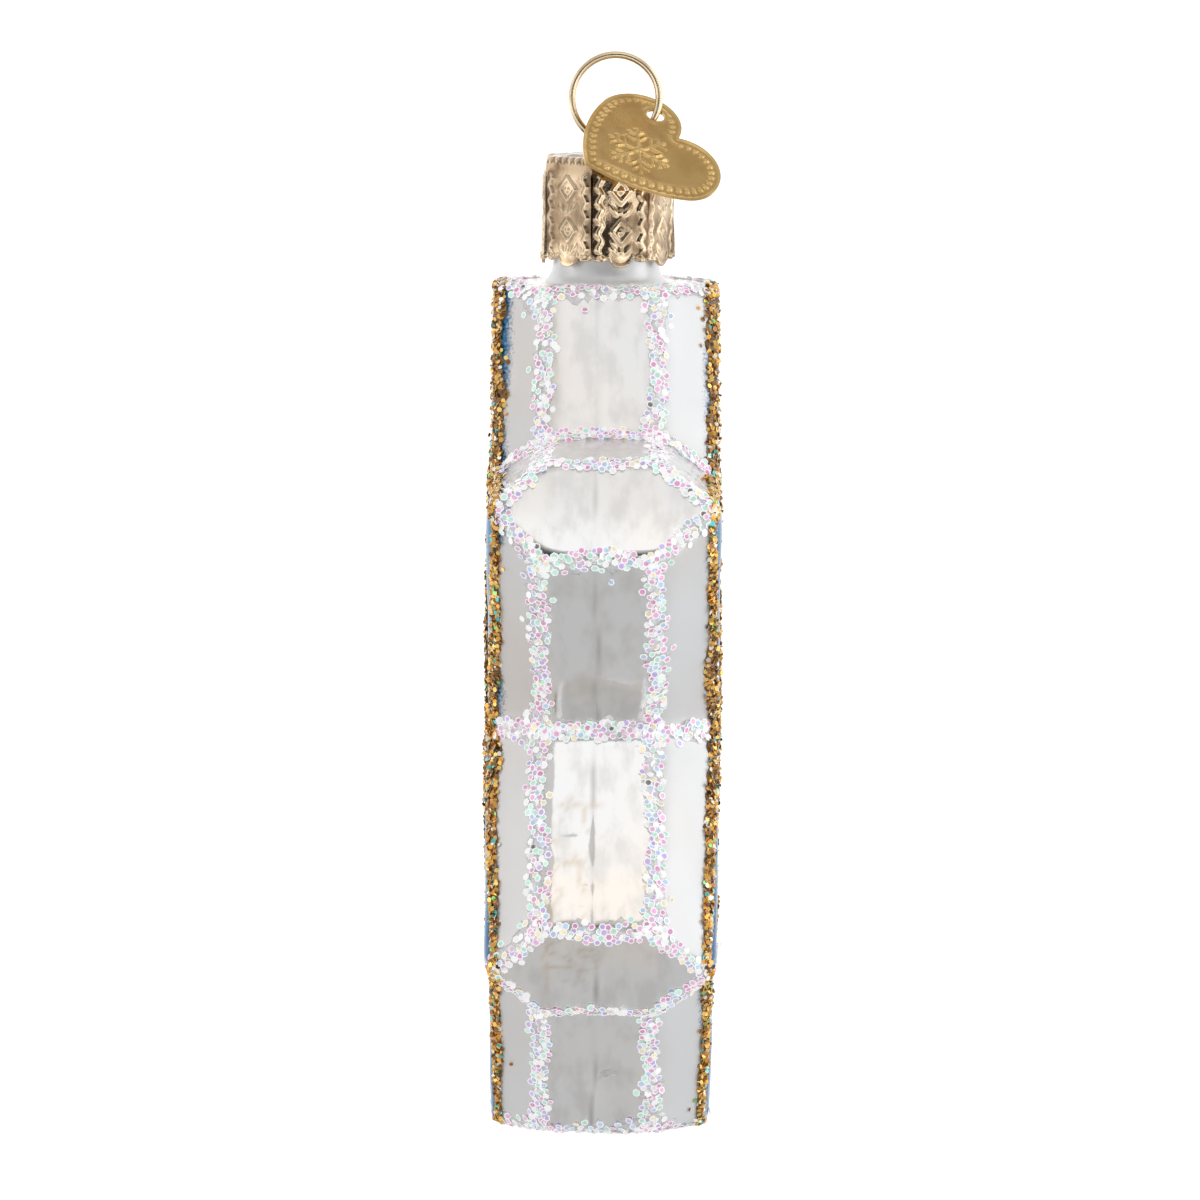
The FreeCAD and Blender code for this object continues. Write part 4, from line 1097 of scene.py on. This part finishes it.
def ramp_value(tree, value, low, high, start=0.0, finish=1.0):
    """A number carried smoothly from one range into another."""
    made = node(tree, "ShaderNodeMapRange", {"Value": value, "From Min": low, "From Max": high,
                                             "To Min": start, "To Max": finish},
                interpolation_type="SMOOTHSTEP")
    return made.outputs["Result"]


def noise(tree, scale, detail=3.0, stretch=(1.0, 1.0, 1.0), roughness=0.55):
    """Noise on the object's own coordinates; scale is in waves per millimetre."""
    place = node(tree, "ShaderNodeTexCoord").outputs["Object"]
    scaled = node(tree, "ShaderNodeMapping", {"Vector": place, "Scale": tuple(s / MM for s in stretch)})
    made = node(tree, "ShaderNodeTexNoise", {"Vector": scaled.outputs[0], "Scale": scale, "Detail": detail,
                                             "Roughness": roughness})
    return made.outputs["Fac"]


def value_of(tree, name):
    """A number that the mesh carries at each vertex."""
    return node(tree, "ShaderNodeAttribute", attribute_name=name).outputs["Fac"]


def colour_of(tree, name):
    """A colour that the mesh carries at each vertex."""
    return node(tree, "ShaderNodeAttribute", attribute_name=name).outputs["Color"]


def grain_group():
    """Node group: a soft edge broken up by fine grain, as sprayed lacquer has.

    Distance and its two ends make the soft edge; Amount says how much the grain breaks it up.
    """
    group = bpy.data.node_groups.new("sprayed_edge", "ShaderNodeTree")
    for name, value in (("Distance", 0.0), ("Start", 0.0), ("End", 1.0), ("Grain", 3.0), ("Amount", 0.5)):
        made = group.interface.new_socket(name, in_out="INPUT", socket_type="NodeSocketFloat")
        made.default_value = value
    group.interface.new_socket("Mask", in_out="OUTPUT", socket_type="NodeSocketFloat")
    inside = group.nodes.new("NodeGroupInput")
    outside = group.nodes.new("NodeGroupOutput")
    place = node(group, "ShaderNodeTexCoord").outputs["Object"]
    scaled = node(group, "ShaderNodeMapping", {"Vector": place, "Scale": (1 / MM, 1 / MM, 1 / MM)}).outputs[0]
    fine = node(group, "ShaderNodeTexNoise", {"Vector": scaled, "Scale": inside.outputs["Grain"], "Detail": 2.0})
    slow = node(group, "ShaderNodeTexNoise", {"Vector": scaled, "Scale": 0.16, "Detail": 2.0})
    fine_part = maths(group, "SUBTRACT", fine.outputs["Fac"], 0.5)
    slow_part = maths(group, "SUBTRACT", slow.outputs["Fac"], 0.5)
    shift = maths(group, "MULTIPLY", fine_part, inside.outputs["Amount"])
    shift = maths(group, "ADD", shift, maths(group, "MULTIPLY", slow_part, 1.6))
    moved = maths(group, "ADD", inside.outputs["Distance"], shift)
    mask = node(group, "ShaderNodeMapRange", {"Value": moved, "From Min": inside.outputs["Start"],
                                              "From Max": inside.outputs["End"], "To Min": 1.0, "To Max": 0.0},
                interpolation_type="SMOOTHSTEP")
    group.links.new(mask.outputs["Result"], outside.inputs["Mask"])
    return group


def wear_and_shade_group():
    """Node group: worn thin metal with painted shade. Relief keeps its tops bright, hollows and low ground go dark
    as painted shade, and cloudy patches go dark as dull oxide.
    """
    group = bpy.data.node_groups.new("worn_metal_and_hollow_shade", "ShaderNodeTree")
    for name, value in (("Relief", 0.0), ("Cloud", 0.3), ("Scratch", 6.0)):
        made = group.interface.new_socket(name, in_out="INPUT", socket_type="NodeSocketFloat")
        made.default_value = value
    for name in ("Dark", "Rough", "Height"):
        group.interface.new_socket(name, in_out="OUTPUT", socket_type="NodeSocketFloat")
    inside = group.nodes.new("NodeGroupInput")
    outside = group.nodes.new("NodeGroupOutput")
    place = node(group, "ShaderNodeTexCoord").outputs["Object"]
    scaled = node(group, "ShaderNodeMapping", {"Vector": place, "Scale": (1 / MM, 1 / MM, 1 / MM)}).outputs[0]
    cloud = node(group, "ShaderNodeTexNoise", {"Vector": scaled, "Scale": inside.outputs["Cloud"], "Detail": 4.0})
    fine = node(group, "ShaderNodeTexNoise", {"Vector": scaled, "Scale": inside.outputs["Scratch"], "Detail": 3.0})
    # painted shade: the lower the relief, the darker the metal
    hollow = ramp_value(group, inside.outputs["Relief"], 0.0, 0.13, 1.0, 0.0)
    patch = ramp_value(group, cloud.outputs["Fac"], 0.42, 0.66)
    dark = maths(group, "ADD", maths(group, "MULTIPLY", hollow, 0.55), maths(group, "MULTIPLY", patch, 0.45),
                 clamp=True)
    rough = maths(group, "ADD", maths(group, "MULTIPLY", patch, 0.5), maths(group, "MULTIPLY",
                                                                         fine.outputs["Fac"], 0.5))
    group.links.new(dark, outside.inputs["Dark"])
    group.links.new(rough, outside.inputs["Rough"])
    group.links.new(fine.outputs["Fac"], outside.inputs["Height"])
    return group


def bump_node(tree, height, strength, distance):
    """A fine bump from a height."""
    return node(tree, "ShaderNodeBump", {"Height": height, "Strength": strength,
                                         "Distance": distance * MM}).outputs["Normal"]


def place_group(tree, group, values):
    """A node group placed in a material with its own values."""
    made = tree.nodes.new("ShaderNodeGroup")
    made.node_tree = group
    for key, value in values.items():
        if isinstance(value, bpy.types.NodeSocket):
            tree.links.new(value, made.inputs[key])
        else:
            made.inputs[key].default_value = value
    return made


def set_shader(tree, shader, values):
    """Sets or links the shader's sockets by name."""
    for key, value in values.items():
        if isinstance(value, bpy.types.NodeSocket):
            tree.links.new(value, shader.inputs[key])
        elif isinstance(value, tuple) and len(value) == 3:
            shader.inputs[key].default_value = (*value, 1.0)
        else:
            shader.inputs[key].default_value = value


def glass_material(grain):
    """Silvered glass: bright side bands, pearly sprayed bevels and blue metallic lacquer on the faces; the band and
    bevels also carry painted reflection and painted shade in their colour.
    """
    made, tree, shader = new_material("silvered_and_sprayed_glass")
    past = value_of(tree, "over_edge")
    silver = value_of(tree, "silver")
    warm_shade_and_reflection = value_of(tree, "warm_shade_and_reflection")
    frost = value_of(tree, "frost")
    blue = place_group(tree, grain, {"Distance": past, "Start": 0.2, "End": 1.5, "Grain": 3.6, "Amount": 2.0})
    streak = noise(tree, 0.5, 4.0, stretch=(0.25, 1.0, 0.6))
    cloud = noise(tree, 0.09, 3.0)
    fine = noise(tree, 5.0, 2.0)
    # painted reflection: the silvered band turns pale yellowish white where the mesh value says so
    silver_colour = mix_colour(tree, warm_shade_and_reflection, (0.87, 0.87, 0.87), (0.96, 0.88, 0.80))
    silver_colour = mix_colour(tree, ramp_value(tree, streak, 0.42, 0.70, 0.0, 0.6), silver_colour,
                               (0.70, 0.68, 0.66))
    # painted shade in the wrinkle folds: the silver turns brown along thin lines
    silver_colour = mix_colour(tree, maths(tree, "MULTIPLY", value_of(tree, "crease_shade"), 0.45), silver_colour,
                               (0.62, 0.46, 0.30))
    # painted shade: dark grey along the front side of the seam ridge
    silver_colour = mix_colour(tree, maths(tree, "MULTIPLY", value_of(tree, "seam"), 0.6), silver_colour,
                               (0.34, 0.32, 0.31))
    # painted shade: the pearly bevels turn a darker brownish grey on the front side
    pearl_colour = mix_colour(tree, warm_shade_and_reflection, (0.80, 0.81, 0.82), (0.74, 0.68, 0.63))
    pearl_colour = mix_colour(tree, maths(tree, "MULTIPLY", fine, 0.22), pearl_colour, (0.93, 0.93, 0.93))
    blue_colour = mix_colour(tree, ramp_value(tree, noise(tree, 7.0, 2.0), 0.4, 0.7),
                             (0.008, 0.125, 0.27), (0.02, 0.23, 0.42))
    blue_colour = mix_colour(tree, ramp_value(tree, cloud, 0.4, 0.75), blue_colour, (0.008, 0.08, 0.22))
    base = mix_colour(tree, silver, pearl_colour, silver_colour)
    base = mix_colour(tree, blue.outputs["Mask"], base, blue_colour)
    metallic = mix_value(tree, silver, 0.35, 1.0)
    metallic = mix_value(tree, blue.outputs["Mask"], metallic, 0.75)
    silver_rough = ramp_value(tree, streak, 0.3, 0.75, 0.06, 0.18)
    silver_rough = mix_value(tree, frost, silver_rough, 0.36)
    rough = mix_value(tree, silver, maths(tree, "ADD", 0.34, maths(tree, "MULTIPLY", streak, 0.18)), silver_rough)
    rough = mix_value(tree, blue.outputs["Mask"], rough, 0.32)
    height = maths(tree, "ADD", maths(tree, "MULTIPLY", streak, 1.0), maths(tree, "MULTIPLY", fine, 0.10))
    set_shader(tree, shader, {
        "Base Color": base,
        "Metallic": metallic,
        "Roughness": rough,
        "Coat Weight": 0.45,
        "Coat Roughness": 0.04,
        "Normal": bump_node(tree, height, 0.35, 0.06),
    })
    return made


def flake_material(name, glint_colour, glint_share, metallic, roughness, painted_glow, haze):
    """Glitter flakes: each takes its own tint, with a painted glint round its outline, light given off as painted
    light, and a little unevenness.
    """
    made, tree, shader = new_material(name)
    tint = colour_of(tree, "tint")
    middle = value_of(tree, "middle")
    fine = noise(tree, 2.2, 2.0)
    # painted glint: the ring round each flake's middle takes the glint colour
    rim = ramp_value(tree, middle, 0.24, 0.40, glint_share, 0.0)
    colour = mix_colour(tree, rim, tint, glint_colour)
    colour = mix_colour(tree, maths(tree, "MULTIPLY", fine, haze), colour, (1.0, 1.0, 1.0))
    set_shader(tree, shader, {
        "Base Color": colour,
        "Metallic": metallic,
        "Roughness": ramp_value(tree, fine, 0.3, 0.7, roughness * 0.7, roughness * 1.4),
        "Coat Weight": 0.6,
        "Coat Roughness": 0.05,
        # painted light: the flakes give off light in their own colour, though they are no lamp
        "Emission Color": colour,
        "Emission Strength": painted_glow,
    })
    return made


def glue_material(name, colour, other, alpha_low, alpha_high, roughness):
    """Dried craft glue: glossy, uneven and partly clear."""
    made, tree, shader = new_material(name)
    cloud = noise(tree, 1.1, 3.0)
    fine = noise(tree, 3.5, 3.0)
    set_shader(tree, shader, {
        "Base Color": mix_colour(tree, ramp_value(tree, cloud, 0.35, 0.65), colour, other),
        "Roughness": ramp_value(tree, fine, 0.3, 0.7, roughness * 0.6, roughness * 1.5),
        "Alpha": ramp_value(tree, cloud, 0.35, 0.65, alpha_low, alpha_high),
        "Coat Weight": 0.5,
        "Coat Roughness": 0.05,
        "Normal": bump_node(tree, fine, 0.5, 0.15),
    })
    return made


def metal_material(name, wear_and_shade, bright, dark, rough_low, rough_high, cloud, scratch, dark_share):
    """Thin plated metal with bright raised parts and hollows darkened as painted shade."""
    made, tree, shader = new_material(name)
    wear = place_group(tree, wear_and_shade, {"Relief": value_of(tree, "relief"), "Cloud": cloud, "Scratch": scratch})
    share = maths(tree, "MULTIPLY", wear.outputs["Dark"], dark_share)
    rough = ramp_value(tree, wear.outputs["Rough"], 0.15, 0.75, rough_low, rough_high)
    set_shader(tree, shader, {
        "Base Color": mix_colour(tree, share, bright, dark),
        "Metallic": 1.0,
        "Roughness": rough,
        "Normal": bump_node(tree, wear.outputs["Height"], 0.25, 0.04),
    })
    return made


# ---------------------------------------------------------------- the studio

def make_sweep():
    """A pale floor that sweeps up into a lit backdrop: a level run, a quarter round and an upright."""
    level, bend_start, bend, height, half = -0.36, -1.1, 0.7, 2.6, 3.2
    near = np.linspace(3.0, bend_start, 12)
    turn = np.linspace(0.0, math.pi / 2, 13)[1:]
    rise = np.linspace(0.0, height, 6)[1:]
    run = np.concatenate([near, bend_start - bend * np.sin(turn), np.full(len(rise), bend_start - bend)])
    lift = np.concatenate([np.full(len(near), level), level + bend * (1.0 - np.cos(turn)), level + bend + rise])
    across = np.linspace(-half, half, 9)
    x, y = np.meshgrid(run, across, indexing="ij")
    z, _ = np.meshgrid(lift, across, indexing="ij")
    points = np.stack([x, y, z], axis=-1).reshape(-1, 3) / MM
    sweep = fill_mesh("studio_sweep", points, grid_quads(len(run), len(across), wrap=False), [])
    made, tree, shader = new_material("pale_studio_paper")
    place = node(tree, "ShaderNodeTexCoord").outputs["Object"]
    level_place = node(tree, "ShaderNodeMapping", {"Vector": place, "Scale": (1.0, 1.0, 0.0)}).outputs[0]
    away = node(tree, "ShaderNodeVectorMath", {0: level_place}, operation="LENGTH").outputs["Value"]
    tooth = noise(tree, 0.02, 4.0)
    set_shader(tree, shader, {
        "Base Color": mix_colour(tree, tooth, (0.62, 0.62, 0.62), (0.65, 0.65, 0.65)),
        "Roughness": 0.85,
        "Emission Color": (1.0, 1.0, 1.0),
        "Emission Strength": ramp_value(tree, away, 0.45, 1.0, 0.0, 0.75),
    })
    sweep.data.materials.append(made)


def soft_box(name, place, target, wide, tall, power):
    """A large soft light that looks at a place on the object."""
    light = bpy.data.lights.new(name, "AREA")
    light.shape = "RECTANGLE"
    light.size = wide
    light.size_y = tall
    light.energy = power
    made = bpy.data.objects.new(name, light)
    made.location = place
    way = Vector(target) - Vector(place)
    made.rotation_mode = "QUATERNION"
    made.rotation_quaternion = way.to_track_quat("-Z", "Y")
    made.visible_camera = False
    bpy.context.scene.collection.objects.link(made)
    return made


def make_world():
    """An even pale surround, white to the camera and dimmer as a light."""
    world = bpy.data.worlds.new("pale_surround")
    world.use_nodes = True
    tree = world.node_tree
    shader = tree.nodes["Background"]
    seen = node(tree, "ShaderNodeLightPath").outputs["Is Camera Ray"]
    way = node(tree, "ShaderNodeSeparateXYZ", {"Vector": node(tree, "ShaderNodeTexCoord").outputs["Generated"]})
    dim = ramp_value(tree, way.outputs["X"], 0.74, 0.96, 0.66, 0.05)
    tree.links.new(mix_value(tree, seen, dim, 1.0), shader.inputs["Strength"])
    shader.inputs["Color"].default_value = (1.0, 1.0, 1.0, 1.0)
    bpy.context.scene.world = world


def make_camera():
    """A long lens on the side of the star, a little above it and turned very slightly."""
    lens, sensor, frame_side = 201.75, 36.0, 1200.0
    distance, elevation = 0.683, math.radians(7.87)
    right_shift, drop_shift, roll = 3.0, 88.0, math.radians(0.45)
    focal = lens / sensor * frame_side
    aim = Vector(STAR_CENTRE * MM)
    back = Vector((math.cos(elevation), 0.0, math.sin(elevation)))
    base = back.to_track_quat("Z", "Y").to_matrix()
    turn = Matrix.Rotation(math.atan(right_shift / focal), 3, "Y")
    tilt = Matrix.Rotation(math.atan(drop_shift / focal), 3, "X")
    spin = Matrix.Rotation(roll, 3, "Z")
    data = bpy.data.cameras.new("side_camera")
    data.lens = lens
    data.sensor_width = sensor
    camera = bpy.data.objects.new("side_camera", data)
    camera.matrix_world = Matrix.Translation(aim + back * distance) @ (base @ spin @ turn @ tilt).to_4x4()
    bpy.context.scene.collection.objects.link(camera)
    bpy.context.scene.camera = camera


def make_studio():
    """Sweep, surround, lights and camera."""
    make_sweep()
    make_world()
    target = tuple(STAR_CENTRE * MM)
    soft_box("light_overhead", (0.75, 0.10, 1.05), target, 1.15, 0.75, 1.12)
    soft_box("light_right", (0.15, 1.35, 0.25), target, 0.9, 1.5, 5.0)
    soft_box("light_front", (1.15, 0.72, -0.06), target, 0.30, 0.55, 0.75)
    soft_box("light_left", (0.25, -1.35, 0.10), target, 0.5, 1.3, 2.0)
    make_camera()
    bpy.context.scene.view_settings.view_transform = "Standard"


# ---------------------------------------------------------------- the whole ornament

def make_glitter(pale_glue, pale_flakes, gold_glue, gold_flakes):
    """Every glued line of the star, each in place of its own plain solid."""
    pale = [pale_glue, pale_flakes]
    gold = [gold_glue, gold_flakes]
    for side, word in ((-1, "front"), (1, "back")):
        length, place = edge_line(side)
        line = Line(f"gold_flakes_outline_{word}", f"gold_glitter_outline_{word}", length, 2.2, place, True)
        finish_piece(make_glitter_line(line, GOLD, 100 + side), "star", gold, [line.node])
        length, place = hexagon_line(side)
        line = Line(f"gold_flakes_hexagon_{word}", f"gold_glitter_hexagon_{word}", length, 1.4, place, True)
        finish_piece(make_glitter_line(line, GOLD, 110 + side), "star", gold, [line.node])
        for sector in range(6):
            length, place = band_line(side, sector)
            name = f"pale_flakes_{word}_line_{sector + 1}"
            line = Line(name, f"white_glitter_line_{word}", length, 2.0, place, False)
            finish_piece(make_glitter_line(line, PALE, 200 + 10 * side + sector), "star", pale,
                         [line.node])
    for sector, word in enumerate(TIP_NAMES):
        length, place = tip_line(sector)
        line = Line(f"pale_flakes_tip_{word}", f"white_glitter_tip_{word}", length, 2.0, place, True)
        finish_piece(make_glitter_line(line, PALE, 300 + sector), "star", pale, [line.node])
    for sector, word in enumerate(VALLEY_NAMES):
        length, place = valley_line(sector)
        line = Line(f"pale_flakes_valley_{word}", f"white_glitter_valley_{word}", length, 2.1, place, False)
        finish_piece(make_glitter_line(line, PALE, 320 + sector), "star", pale, [line.node])


def make_ornament():
    """All pieces with their finishes, each on its CAD body."""
    grain = grain_group()
    wear_and_shade = wear_and_shade_group()
    glass = glass_material(grain)
    # the cap's near-black brown at full share paints shade over its low ground; the wire and the tag take less
    cap_metal = metal_material("plated_cap_metal", wear_and_shade, (0.80, 0.62, 0.42), (0.12, 0.065, 0.03),
                               0.10, 0.26, 0.35, 5.0, 1.0)
    wire_metal = metal_material("champagne_wire_metal", wear_and_shade, (0.86, 0.70, 0.48), (0.52, 0.38, 0.22),
                                0.14, 0.26, 0.25, 8.0, 0.5)
    tag_metal = metal_material("satin_tag_metal", wear_and_shade, (0.74, 0.50, 0.20), (0.36, 0.20, 0.06),
                               0.20, 0.34, 0.30, 6.0, 0.65)
    pale_glue = glue_material("clear_pale_glue", (0.95, 0.94, 0.95), (0.88, 0.88, 0.90), 0.35, 0.75, 0.2)
    gold_glue = glue_material("amber_glue", (0.30, 0.15, 0.03), (0.16, 0.08, 0.02), 0.85, 1.0, 0.25)
    # the white and pale gold outline colours are painted glints; 0.2 and 0.03 are how much light the flakes give off
    # as painted light
    pale_flakes = flake_material("pale_rainbow_flakes", (1.0, 1.0, 1.0), 0.95, 0.0, 0.22, 0.2, 0.2)
    gold_flakes = flake_material("gold_flakes", (1.0, 0.85, 0.55), 0.12, 0.85, 0.2, 0.03, 0.03)
    made, material = make_glass_star(glass)
    finish_piece(made, "star", [material], ["glass_star"])
    made, material = make_neck(glass)
    finish_piece(made, "star", [material], ["glass_star"])
    made, material = make_cap(cap_metal)
    finish_piece(made, "cap", [material], ["ornament_cap"])
    made, material = make_wire(wire_metal)
    finish_piece(made, "hanger", [material], ["hanger_wire"])
    made, material = make_tag(tag_metal)
    finish_piece(made, "tag", [material], ["heart_tag"])
    make_glitter(pale_glue, pale_flakes, gold_glue, gold_flakes)


make_studio()
make_ornament()
